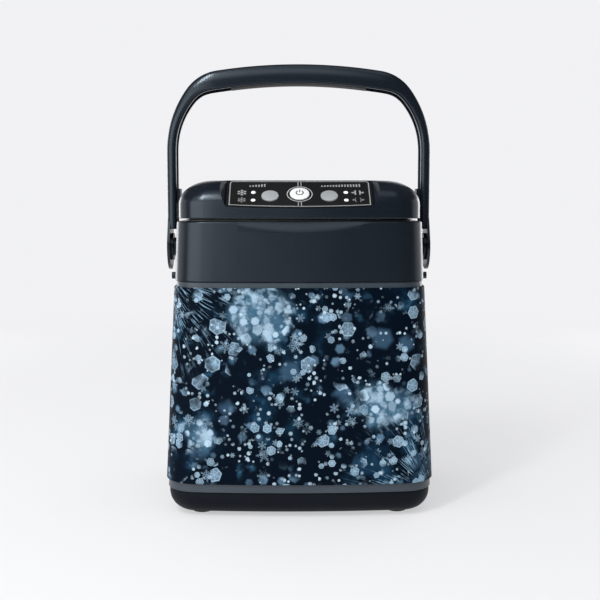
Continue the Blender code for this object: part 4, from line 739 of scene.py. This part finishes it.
top, low, edge, lowEdge = levels["collarTop"], levels["collar"], housing["edge"], housing["lowEdge"]
mouth, deck, wall = housing["mouth"], top - housing["deck"], housing["wall"]
stations = [(low, lowEdge), (low + lowEdge, 0), (top - scoop["height"] - edge, 0),
            (top - edge - lowEdge, 0)]
stations += [(top - edge * (1 - math.sin(turn)), edge * (1 - math.cos(turn))) for turn in quarterTurns(6)]
stations += [(top, mouth), (deck, mouth), (deck, wall), (low, wall)]
rings = [planRing(z, *housingSize(z, inset)) for z, inset in stations]
stopLevel = low + stop["height"]
stopWall = housingSize(stopLevel)[0]
added = sideBars(pivot["bossRadius"], housingSize(axle)[0] - wall / 2, bossFace, axle)
for y in (-stop["offset"], stop["offset"]):
    added += sideBars(stop["radius"], stopWall - wall / 2, stopWall + stop["reach"], stopLevel, y)
bores = sideBars(pivot["pinRadius"] + seatGap, pinEnd - seatGap, bossFace + beyond, axle)
mesh = carvedMesh(loftMesh(rings, closed=True), ("DIFFERENCE", scoopCutter()), ("UNION", added),
                  ("DIFFERENCE", bores))
addPiece("upperHousing", mesh, "navySatin", "tank", "upper_collar", sharp=28)

# Headed pins that the handle turns on
radius, pinRadius, dimple = pivot["headRadius"], pivot["pinRadius"], headFace - pivot["headDimple"]
dimpleFloor, dimpleRim = [radius * share for share in pivot["dimpleRun"]]
profile = [(0, dimple), (dimpleFloor, dimple), (dimpleRim, headFace)]
profile += roundedEdge(radius, headFace, pivot["headRound"], 5)
profile += [(radius, headSeat), (pinRadius, headSeat), (pinRadius, pinEnd), (0, pinEnd)]
for side, sign in (("left", -1), ("right", 1)):
    place = Matrix.Translation((0, 0, axle)) @ Matrix.Rotation(sign * math.pi / 2, 4, "Y")
    addPiece(side + "PivotPin", latheMesh(profile, 48, place), "navyGloss", "tank", "pivot_pin_" + side)


def copyNode(name, node, finish, body, rounding=None, sharp=32):
    addPiece(name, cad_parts[node].data.copy(), finish, body, node, sharp=sharp, rounding=rounding)


copyNode("whiteLiner", "reservoir_liner", "linerWhite", "tank", sharp=20)
copyNode("insulation", "insulation_foam", "foamCream", "tank")
print("tank done")

# Lid: an upright side, then an elliptical shoulder, with the panel's recess in front and the ports' behind
lid = {"width": 0.2104, "depth": 0.1764, "corner": 0.026, "topCorner": 0.016, "wall": 0.0026,
       "edge": 0.0006, "side": 0.0119, "run": 0.029, "flangeTop": 0.0029, "bossRadius": 0.0032,
       "bossHeight": 0.0165, "screwX": 0.0982, "screwY": 0.045}
panel = {"slope": math.radians(36), "width": 0.1254, "length": 0.0384, "corner": 0.003, "foot": 0.0088,
         "overlay": 0.0008, "flare": math.radians(33), "floor": 0.0024, "rim": 0.004, "depth": 0.0105,
         "margin": 0.0004, "boardDrop": 0.0093, "postX": 0.05, "postY": 0.009, "postRadius": 0.0022}
keys = {  # x, y and radius in the panel's plane
    "power": (0.0, 0.0, 0.0084), "cold": (-0.0254, -0.0030, 0.0074), "compression": (0.0254, -0.0030, 0.0074)}
keyShape = {"gap": 0.0003, "proud": 0.0009, "crown": 0.0007, "dish": 0.75, "rim": 0.0009, "round": 0.0004,
            "flange": 0.0014, "flangeThickness": 0.0012, "stem": 0.0018, "stemLow": -0.0066}
lamp = {"radius": 0.0020, "column": 0.0398, "upper": 0.0026, "lower": -0.0086, "dome": 0.0002}
port = {"width": 0.092, "depth": 0.016, "foot": 0.0056, "cutRear": 0.1, "cutTop": 0.4}

low, length, overlayFace = levels["lid"], panel["length"], seatGap + panel["overlay"]
panelPlace = Matrix.Translation((0, -lid["depth"] / 2 + length / 2 * math.cos(panel["slope"]),
                                 low + panel["foot"] + length / 2 * math.sin(panel["slope"])))
panelPlace = panelPlace @ Matrix.Rotation(panel["slope"], 4, "X")
bossLow = low + lid["flangeTop"] + seatGap


def lidRing(z, inset, corner):
    return planRing(z, lid["width"] / 2 - inset, lid["depth"] / 2 - inset, max(corner, leastCorner))


def shoulderRings(wall):
    start, rings = levels["lid"] + lid["side"], []
    for turn in quarterTurns(20):
        share = 1 - math.cos(turn)
        rings.append(lidRing(start + (levels["lidTop"] - start - wall) * math.sin(turn),
                             wall + (lid["run"] - wall) * share,
                             blendValue(lid["corner"] - wall, lid["topCorner"], share)))
    return rings


def lidCore(block):  # the part of a block that lies within the lid's wall
    inset = lid["wall"] / 2
    core = loftMesh([lidRing(bossLow, inset, lid["corner"] - inset)] + shoulderRings(inset))
    return carvedMesh(block, ("INTERSECT", core))


def portBlock(margin, drop):  # reaches out past the lid
    half, face = port["width"] / 2 + margin, lid["depth"] / 2 - port["depth"] - margin
    return blockMesh((-half, face, levels["lid"] + port["foot"] - drop),
                     (half, port["cutRear"], port["cutTop"]))


def oblong(halfX, halfY, x=0, y=0):
    return [(x - halfX, y - halfY), (x + halfX, y - halfY), (x + halfX, y + halfY), (x - halfX, y + halfY)]


edge, side, wall, floorLow = lid["edge"], low + lid["side"], lid["wall"], -panel["floor"]
stations = [(low, edge), (low + edge * 0.3, edge * 0.3), (low + edge, 0), (low + edge * 2, 0),
            (side - edge * 2, 0)]
rings = [lidRing(z, inset, lid["corner"] - inset) for z, inset in stations]
rings = (rings + shoulderRings(0))[::-1] + [lidRing(low, wall, lid["corner"] - wall)] + shoulderRings(wall)
flare, high, half = math.tan(panel["flare"]), panel["depth"] * 2, panel["width"] / 2
run = half + panel["depth"] * flare + panel["rim"]
panelPad = lidCore(blockMesh((-run, -length, floorLow), (run, length, panel["depth"]), panelPlace))
portPad = lidCore(portBlock(wall, panel["floor"]))
screwSpots, postSpots = cornersOf(lid["screwX"], lid["screwY"]), cornersOf(panel["postX"], panel["postY"])
boardTop = seatGap - panel["boardDrop"]
bosses = barsAt(screwSpots, lid["bossRadius"], bossLow, bossLow + lid["bossHeight"], 24)
bosses += barsAt(postSpots, panel["postRadius"], boardTop, floorLow / 2, 20, panelPlace)
recess = loftMesh([[(x, y, z) for x, y in oblong(half + seatGap + z * flare, length)] for z in (0, high)])


def panelHoles():
    holes = []
    for x, y, radius in keys.values():
        holes += barsAt([(x, y)], radius + keyShape["gap"], -panel["boardDrop"], high, 64, panelPlace)
    spots = [(x, y) for x in (-lamp["column"], lamp["column"]) for y in (lamp["upper"], lamp["lower"])]
    return holes + barsAt(spots, lamp["radius"] + seatGap, -panel["boardDrop"], high, 32, panelPlace)


mesh = carvedMesh(loftMesh(rings), ("UNION", panelPad), ("UNION", portPad), ("UNION", bosses),
                  ("DIFFERENCE", movedMesh(recess, panelPlace)), ("DIFFERENCE", portBlock(0, 0)),
                  ("DIFFERENCE", panelHoles()))
addPiece("glossyLid", mesh, "navyGloss", "lid", "lid_shell", sharp=25, rounding=0.0004)


def panelFoot(x):  # lower edge that follows the bow of the lid's front
    return x**2 / (2 * bowRadius) / math.cos(panel["slope"]) + panel["margin"] - length / 2


def panelOutline(half, top, corner, gap, cornerCount, footCount):
    outline = arcPoints((half - corner, top - corner), corner, 0, math.pi / 2, cornerCount)
    outline += arcPoints((corner - half, top - corner), corner, math.pi / 2, math.pi, cornerCount)
    feet = [half * (step / footCount - 1) for step in range(2 * footCount + 1)]
    return outline + [(x, panelFoot(x) + gap) for x in feet]


# Overlay on the recess floor
outline = panelOutline(half - seatGap, length / 2, panel["corner"], 0, 8, 16)
mesh = carvedMesh(slabMesh(outline, seatGap, overlayFace, panelPlace), ("DIFFERENCE", panelHoles()))
addPiece("panelOverlay", mesh, "panelBlack", "lid", "panel_overlay", rounding=0.00012)

# Crowned buttons with a rounded shoulder, each with a flange that holds it under the panel
keyFace, stem, stemLow = overlayFace + keyShape["proud"], keyShape["stem"], keyShape["stemLow"]
crownTop, holdTop = keyFace + keyShape["crown"], floorLow - seatGap
holdLow, crownFall = holdTop - keyShape["flangeThickness"], keyShape["crown"] * keyShape["dish"]
for name, (x, y, radius) in keys.items():
    flange, rim = radius + keyShape["flange"], radius - keyShape["rim"]
    shares = [step / 10 for step in range(11)]
    profile = [(rim * share, crownTop - crownFall * share**2) for share in shares]
    profile += roundedEdge(radius, keyFace, keyShape["round"], 4)
    profile += [(radius, holdTop), (flange, holdTop), (flange, holdLow), (stem, holdLow), (stem, stemLow),
                (0, stemLow)]
    mesh = latheMesh(profile, 96, panelPlace @ Matrix.Translation((x, y, 0)))
    finish = "whiteButton" if name == "power" else "greyButton"
    addPiece(name + "Key", mesh, finish, name + "_key", name + "_button", sharp=40)
print("lid and panel done")

# Milky light guides, one at each corner of an oblong on the panel
radius, dome, upper, lower = [lamp[part] for part in ("radius", "dome", "upper", "lower")]
profile = [(0, overlayFace + dome), (radius * 0.6, overlayFace + dome * 0.65), (radius * 0.93, overlayFace),
           (radius, overlayFace - dome), (radius, boardTop), (0, boardTop)]
middle = tuple(panelPlace @ Vector((0, (upper + lower) / 2, 0)))
mesh = repeatedMesh(latheMesh(profile, 32), "milkyLamp", lamp["column"] * 2, upper - lower, middle,
                    (panel["slope"], 0.0, 0.0))
addPiece("panelLamps", mesh, "milkyLamp", "lid", "lamp_cold_high", "lamp_cold_low", "lamp_compression_high",
         "lamp_compression_low", sharp=40)

# Screws that hold the tub's flange under the lid, with a cross recess each
screw = {"level": 0.0011, "length": 0.010, "shank": 0.0013, "head": 0.0025, "face": 0.0019,
         "side": 0.0013, "low": 0.0017, "slot": (0.0012, 0.0003), "slotTop": 0.0010}
top, shank, head = low + screw["level"], screw["shank"], screw["head"]
tip, seat, headLow = top + screw["length"], top - seatGap, top - screw["low"]
profile = [(0, tip), (shank, tip), (shank, seat), (head, seat), (head, top - screw["side"]),
           (screw["face"], headLow), (0, headLow)]
cross = [("DIFFERENCE", blockMesh((-x, -y, top - beyond), (x, y, top - screw["slotTop"])))
         for x, y in (screw["slot"], screw["slot"][::-1])]
mesh = carvedMesh(latheMesh(profile, 24), *cross)
mesh = repeatedMesh(mesh, "turnedSteel", lid["screwX"] * 2, lid["screwY"] * 2)
addPiece("tubScrews", mesh, "turnedSteel", "lid", *["tub_screw_" + corner for corner in cornerNames])

# Marks printed on the panel, as thin raised ink in the panel's own plane
marks = {"rise": 0.00006, "sink": 0.00002, "outlineHalf": 0.0600, "outlineTop": 0.0185,
         "outlineCorner": 0.0025, "outlineGap": 0.0010, "line": 0.0009, "ring": 0.0107, "ringGap": 0.0009,
         "fineLine": 0.0007, "twinHalf": 0.0013, "flakeX": -0.0496, "pumpX": 0.0499}
rows = {  # height on the panel, then size and line width of the snow crystal and of the arrows that press
    "strong": (0.0021, (0.0041, 0.00046), (0.0056, 0.00050)),
    "weak": (-0.0085, (0.0036, 0.00042), (0.0054, 0.00044)),
}
flake = {"start": 30, "spurs": ((0.52, 0.36), (0.78, 0.24)), "spurTurn": 0.9, "spurLine": 0.8}
# In shares of the arrows' size: the run and rise of a limb's side lines, their bulge and steps, and an arrow
limbs = {"strong": (((0.30, 0.62), (0.44, 0.50)), 0.0, (-1, 1)),
         "weak": (((0.34, 0.56),), 0.12, (-1, -0.6, -0.2, 0.2, 0.6, 1))}
arrow = [[(1, 0), (0.62, 0)], [(0.80, 0.20), (0.58, 0), (0.80, -0.20)]]
bars = {  # columns hold a row's middle and its number of bars
    "columns": ((-0.0364, 6), (0.0357, 14)), "foot": 0.0106, "low": 0.0020, "high": 0.0042,
    "pitch": 0.0025, "width": 0.0013}
powerSign = {"radius": 0.0030, "y": -0.0002, "line": 0.00095, "opening": math.radians(36), "barLow": 0.0004,
             "barHigh": 0.0039, "sink": 0.0001, "rise": 0.00005}
inkLow, inkHigh = overlayFace - marks["sink"], overlayFace + marks["rise"]


def ink(points, width, closed=False):
    return ribbonMesh(points, width, inkLow, inkHigh, closed)


def snowMark(x, y, radius, width):
    drawn = []
    for arm in range(6):
        turn = math.radians(flake["start"] + 60 * arm)
        out = Vector((math.cos(turn), math.sin(turn)))
        drawn.append(ink([(x, y), (x + out.x * radius, y + out.y * radius)], width))
        for reach, spur in flake["spurs"]:
            root = Vector((x, y)) + out * radius * reach
            for bend in (turn - flake["spurTurn"], turn + flake["spurTurn"]):
                tip = root + Vector((math.cos(bend), math.sin(bend))) * radius * spur
                drawn.append(ink([root, tip], width * flake["spurLine"]))
    return drawn


def squeezeMark(x, y, size, width, row):  # two arrows that press on a limb's two sides
    sides, bulge, steps = limbs[row]
    lines = [[(run + bulge * (1 - step * step), rise * step) for step in steps] for run, rise in sides]
    return [ink([(x + side * size * run, y + size * rise) for run, rise in line], width)
            for side in (-1, 1) for line in lines + arrow]


top, gap, fine = marks["outlineTop"], marks["outlineGap"], marks["fineLine"]
frameLine = panelOutline(marks["outlineHalf"], top, marks["outlineCorner"], gap, 6, 12)
faint = [ink(frameLine, marks["line"], closed=True)]
ringEdge = marks["ring"] + marks["ringGap"]
for x in (-marks["twinHalf"], marks["twinHalf"]):
    faint += [ink([(x, ringEdge), (x, top)], fine), ink([(x, -ringEdge), (x, panelFoot(x) + gap)], fine)]
drawn = [ink(arcPoints((0, 0), marks["ring"], 0, math.tau, 72)[:-1], fine, closed=True)]
for row, printed in (("strong", drawn), ("weak", faint)):
    y, flakeSize, pumpSize = rows[row]
    printed += snowMark(marks["flakeX"], y, *flakeSize)
    printed += squeezeMark(marks["pumpX"], y, *pumpSize, row)
for x, count in bars["columns"]:  # a rising row of level bars over each column
    for step in range(count):
        half = blendValue(bars["low"], bars["high"], step / (count - 1)) / 2
        barX = x + (step - (count - 1) / 2) * bars["pitch"]
        faint.append(slabMesh(oblong(bars["width"] / 2, half, barX, bars["foot"] + half), inkLow, inkHigh))
addPiece("panelLines", movedMesh(joinedMesh(faint), panelPlace), "dimPrint", "lid")
addPiece("panelMarks", movedMesh(joinedMesh(drawn), panelPlace), "greyPrint", "lid")

# Power sign on the white button
inkLow, inkHigh = keyFace - powerSign["sink"], crownTop + powerSign["rise"]
start = math.pi / 2 + powerSign["opening"]
arc = arcPoints((0, powerSign["y"]), powerSign["radius"], start, math.tau + math.pi - start, 40)
bar = [(0, powerSign["barLow"]), (0, powerSign["barHigh"])]
drawn = [ink(points, powerSign["line"]) for points in (arc, bar)]
addPiece("powerSign", movedMesh(joinedMesh(drawn), panelPlace), "darkPrint", "power_key")
print("panel marks done")

# Bail handle: a crown arc, a shoulder arc and an arm arc, a channel section open on its inner side
handle = {"crown": 0.3964, "crownRadius": 0.49, "shoulderRun": 0.0459, "shoulderRadius": 0.042,
          "shoulderAngle": math.radians(54), "taperEnd": math.radians(82), "edge": 0.005, "footGap": 0.0040,
          "plate": 0.0024, "plateRadius": 0.021, "overlap": 0.010, "lean": 0.6, "hubSink": 0.0001,
          "lugHigh": 0.0135, "lugDeep": 0.014, "lugReach": 0.0032, "lugRise": 0.0235}
grip = {"thickness": 0.0172, "depth": 0.030, "round": 0.0150, "lip": 0.0016, "web": 0.0031, "flange": 0.0030}
arm = {"thickness": 0.0088, "depth": 0.026, "round": 0.0050, "lip": 0.0034, "web": 0.0066, "flange": 0.0056}
insert = {"half": 0.064, "proud": 0.0006, "edge": 0.0015}
crownRadius, shoulderAngle = handle["crownRadius"], handle["shoulderAngle"]
crownAngle = math.asin((handleHalf - handle["shoulderRun"]) / crownRadius)
crownRise, footRise = handle["crown"] - axle, pivot["hubRadius"] + handle["footGap"]


def handleStations():  # right half of the outer edge as (x, height over the pivot, slope)
    reached = crownRadius * math.sin(crownAngle)
    reached += handle["shoulderRadius"] * (math.sin(shoulderAngle) - math.sin(crownAngle))
    armRadius = (handleHalf - reached) / (1 - math.sin(shoulderAngle))
    stations = [(0, crownRise, 0)]
    for radius, end, steps in ((crownRadius, crownAngle, 20), (handle["shoulderRadius"], shoulderAngle, 12),
                               (armRadius, math.pi / 2, 36)):
        x, z, start = stations[-1]
        middleX, middleZ = x - radius * math.sin(start), z - radius * math.cos(start)
        for step in range(1, steps + 1):
            turn = blendValue(start, end, step / steps)
            stations.append((middleX + radius * math.sin(turn), middleZ + radius * math.cos(turn), turn))
    x, z, turn = stations[-1]
    return stations + [(x, blendValue(z, footRise, 0.5), turn), (x, footRise, turn)]


def handleSection(turn):
    share = min(max((turn - crownAngle) / (handle["taperEnd"] - crownAngle), 0), 1)
    share = share * share * (3 - 2 * share)
    thickness, depth, crown, lip, web, flange = [blendValue(grip[part], arm[part], share) for part in grip]
    half, inner = depth / 2, depth / 2 - flange
    near = arcPoints((thickness - lip, lip - half), lip, 0, -math.pi / 2, 8)
    near += [(crown * (1 - math.sin(bend)), handle["edge"] * (1 - math.cos(bend)) - half)
             for bend in quarterTurns(12)]
    return near + [(run, -y) for run, y in reversed(near)] + [
        (thickness, inner), (web, inner), (web, -inner), (thickness, -inner)]


def sectionRing(station, outline):
    x, z, turn = station
    return [(x - math.sin(turn) * run, y, axle + z - math.cos(turn) * run) for run, y in outline]


stations = handleStations()
stations = [(-x, z, -turn) for x, z, turn in reversed(stations)] + stations[1:]
turns = [turn for x, z, turn in stations]
for step in range(8):  # evens the bend out where one arc meets the next
    evened = [(before + here * 2 + after) / 4 for before, here, after in zip(turns, turns[1:], turns[2:])]
    turns[1:-1] = evened
rings = [sectionRing((x, z, turn), handleSection(abs(turn))) for (x, z, old), turn in zip(stations, turns)]
half, plateHalf = (arm["depth"] - handle["edge"]) / 2, handle["plate"] / 2
plateTop = footRise + handle["overlap"]
lean = math.asin(min((handle["plateRadius"] - half) / plateTop, 1)) * handle["lean"]
outline = [(half, plateTop), (-half, plateTop)]
outline += arcPoints((0, 0), handle["plateRadius"], math.pi - lean, math.tau + lean, 48)
upright = Matrix.Rotation(math.pi / 2, 4, "Z") @ Matrix.Rotation(math.pi / 2, 4, "X")
plates, lugs = [], []
lugLow, lugHalf = axle + footRise + handle["lugRise"], handle["lugDeep"] / 2
for sign in (-1, 1):
    at = Matrix.Translation((sign * (plateFace - plateHalf), 0, axle))
    plates.append(slabMesh(outline, -plateHalf, plateHalf, at @ upright))
    near, far = sorted((sign * (handleHalf - arm["thickness"] - handle["lugReach"]),
                        sign * (handleHalf - grip["web"] / 2)))
    lugs.append(blockMesh((near, -lugHalf, lugLow), (far, lugHalf, lugLow + handle["lugHigh"])))
hubs = sideBars(pivot["hubRadius"], hubFace, plateFace - handle["hubSink"], axle, segments=48)
seats = sideBars(pivot["headRadius"] + seatGap, headSeat - seatGap, headFace + beyond, axle, segments=48)
bores = sideBars(pivot["pinRadius"] + seatGap, bossFace, headFace, axle)
mesh = carvedMesh(loftMesh(rings), ("UNION", plates), ("UNION", hubs), ("UNION", lugs),
                  ("DIFFERENCE", seats), ("DIFFERENCE", bores))
addPiece("bailHandle", mesh, "navyGloss", "handle", "handle_bail", sharp=28, rounding=0.0003)

# Soft insert under the grip
low, high, lip = grip["thickness"] + insert["proud"], grip["web"] + seatGap, insert["edge"]
half = grip["depth"] / 2 - grip["flange"] - seatGap
side = arcPoints((low - lip, half - lip), lip, 0, math.pi / 2, 5)
outline = [(high, -half)] + [(run, -y) for run, y in reversed(side)] + side + [(high, half)]
halfTurn, rings = math.asin(insert["half"] / crownRadius), []
for step in range(-24, 25):
    turn = halfTurn * step / 24
    at = (crownRadius * math.sin(turn), crownRise - crownRadius * (1 - math.cos(turn)), turn)
    rings.append(sectionRing(at, outline))
addPiece("gripInsert", loftMesh(rings), "softRubber", "handle", "grip_insert")
print("handle done")

# Pieces of the works and the ports: the solids' own forms, merged, some with softened edges. Most ride on
# the lid and take their name from the node
ownNames = {"lid_tub": "whiteTub", "circuit_board": "greenBoard", "impeller": "pumpImpeller"}
ownBodies = {"hose_latch": "latch", "impeller": "rotor"}
for finish, rounding, nodes in (
    ("innerBlack", 0.0003, "hose_socket power_inlet"),
    ("greyButton", 0.0003, "hose_latch"),
    ("tubWhite", None, "lid_tub"),
    ("softRubber", None, "lid_seal"),
    ("boardGreen", None, "circuit_board"),
    ("innerBlack", None, "power_switch cold_switch compression_switch pump_housing"),
    ("turnedSteel", None, "pump_motor"),
    ("milkyTube", None, "intake_tube"),
    ("innerBlack", None, "intake_filter return_spout"),
    ("innerBlack", 0.0004, "air_compressor"),
    ("turnedSteel", 0.0004, "compressor_motor"),
    ("whiteButton", 0.0004, "valve_block"),
    ("milkyTube", None, "air_link water_feed_hose water_return_hose air_hose"),
    ("whiteButton", None, "impeller"),
):
    for node in nodes.split():
        first, *others = node.split("_")
        name = ownNames.get(node, first + "".join(word.title() for word in others))
        copyNode(name, node, finish, ownBodies.get(node, "lid"), rounding)
print("works and ports done")

# Floor that fades out before its edge, so no horizon shows
studio = {"floorRadius": 2.2, "fade": (0.55, 1.6), "floor": (0.78, 0.785, 0.794), "haze": 0.985,
          "hazeScale": 3.0, "lift": 0.56, "backdrop": (0.885, 0.885, 0.903), "wall": (0.06, 0.062, 0.068),
          "room": (0.72, 0.72, 0.72), "frontShare": 0.8}
worldBands = {"front": (0.15, -0.55), "rear": (-0.05, 0.15), "above": (0.45, 0.25)}


def seenBy(tree, *rays):  # 1 where one of these kinds of ray looks
    path, seen = tree.nodes.new("ShaderNodeLightPath"), 0.0
    for ray in rays:
        seen = mathStep(tree, "MAXIMUM", seen, path.outputs[ray])
    return seen


def mixShader(tree, share, first, second):
    mix = tree.nodes.new("ShaderNodeMixShader")
    for socket, value in zip(mix.inputs, (share, first, second)):
        tree.links.new(value, socket)
    return mix.outputs[0]


def newFloorFinish():
    material, tree, shader = newFinish("paleFloor", {"Roughness": 0.9, "Specular IOR Level": 0.1})
    place = objectPlace(tree)
    tone = tuple(value * studio["haze"] for value in studio["floor"])
    colour = mixColour(tree, noiseField(tree, place, studio["hazeScale"]), studio["floor"], tone)
    tree.links.new(colour, shader.inputs["Base Color"])
    fade = smoothBand(tree, vectorStep(tree, "LENGTH", place, output=1), *studio["fade"])
    clear = tree.nodes.new("ShaderNodeBsdfTransparent")
    pale = tree.nodes.new("ShaderNodeEmission")  # lifts the floor to the backdrop's tone where it is seen
    pale.inputs["Color"].default_value = (*studio["backdrop"], 1)
    seen = seenBy(tree, "Is Camera Ray", "Is Transmission Ray", "Is Glossy Ray")
    lifted = mixShader(tree, timesStep(tree, seen, studio["lift"]), shader.outputs[0], pale.outputs[0])
    surface = mixShader(tree, fade, lifted, clear.outputs[0])
    tree.links.new(surface, tree.nodes["Material Output"].inputs["Surface"])
    return material


bm = bmesh.new()
bmesh.ops.create_circle(bm, cap_ends=True, segments=96, radius=studio["floorRadius"])
floor = newObject("paleFloor", meshFrom(bm, "paleFloor"))
floor.data.materials.append(newFloorFinish())

world = bpy.data.worlds.new("studio")
bpy.context.scene.world = world
world.use_nodes = True
tree = world.node_tree
axes = axesOf(tree, tree.nodes.new("ShaderNodeTexCoord").outputs["Generated"])
front, rear, above = [smoothBand(tree, axes[axis], *worldBands[name])
                      for axis, name in (("Y", "front"), ("Y", "rear"), ("Z", "above"))]
mirrored = mixColour(tree, timesStep(tree, rear, above), studio["wall"], studio["backdrop"])
frontTone = tuple(value * studio["frontShare"] for value in studio["room"])
lit = mixColour(tree, front, studio["room"], frontTone)  # darker towards the camera's side of the room
colour = mixColour(tree, seenBy(tree, "Is Glossy Ray"), lit, mirrored)
colour = mixColour(tree, seenBy(tree, "Is Camera Ray", "Is Transmission Ray"), colour, studio["backdrop"])
tree.links.new(colour, tree.nodes["Background"].inputs["Color"])

lamps = {  # place, size and brightness as a mirror would show it: each box reads as a grey on the gloss
    "leftBox": ((-1.00, -1.08, 0.42), (1.44, 0.82), 2.5),
    "leftHigh": ((-1.00, -1.08, 1.27), (1.44, 0.86), 1.1),
    "frontHigh": ((-0.22, -1.25, 1.30), (0.95, 0.55), 1.5),
    "frontFill": ((-0.20, -1.90, 0.22), (0.60, 0.74), 0.42),
    "leftRim": ((-0.90, 1.10, 0.30), (0.45, 0.56), 3.2),
    "rightRim": ((0.90, 1.10, 0.30), (0.45, 0.56), 3.2),
    "glint": ((-0.60, -0.93, 1.34), (0.16, 0.56), 36.0),
    "top": ((0.0, -0.55, 1.55), (1.20, 0.70), 0.7),
}
aim = Vector((0, 0, 0.2))
for name, (at, size, brightness) in lamps.items():
    data = bpy.data.lights.new(name, "AREA")
    data.shape = "RECTANGLE"
    data.size, data.size_y = size
    data.energy = brightness * math.pi * size[0] * size[1]
    obj = newObject(name, data)
    obj.location = at
    obj.rotation_euler = (aim - Vector(at)).to_track_quat("-Z", "Y").to_euler()

# Camera as in the photograph, at the lid's height and tipped slightly down: millimetres, metres and degrees
shot = {"lens": 61.95, "sensor": 36.0, "at": (-0.012, -0.9646, 0.2736), "turn": (84.466, 0.0, -0.79)}
camera = bpy.data.cameras.new("camera")
camera.lens, camera.sensor_width = shot["lens"], shot["sensor"]
view = newObject("camera", camera)
view.location = shot["at"]
view.rotation_euler = [math.radians(turn) for turn in shot["turn"]]
bpy.context.scene.camera = view
bpy.context.scene.view_settings.view_transform = "Standard"
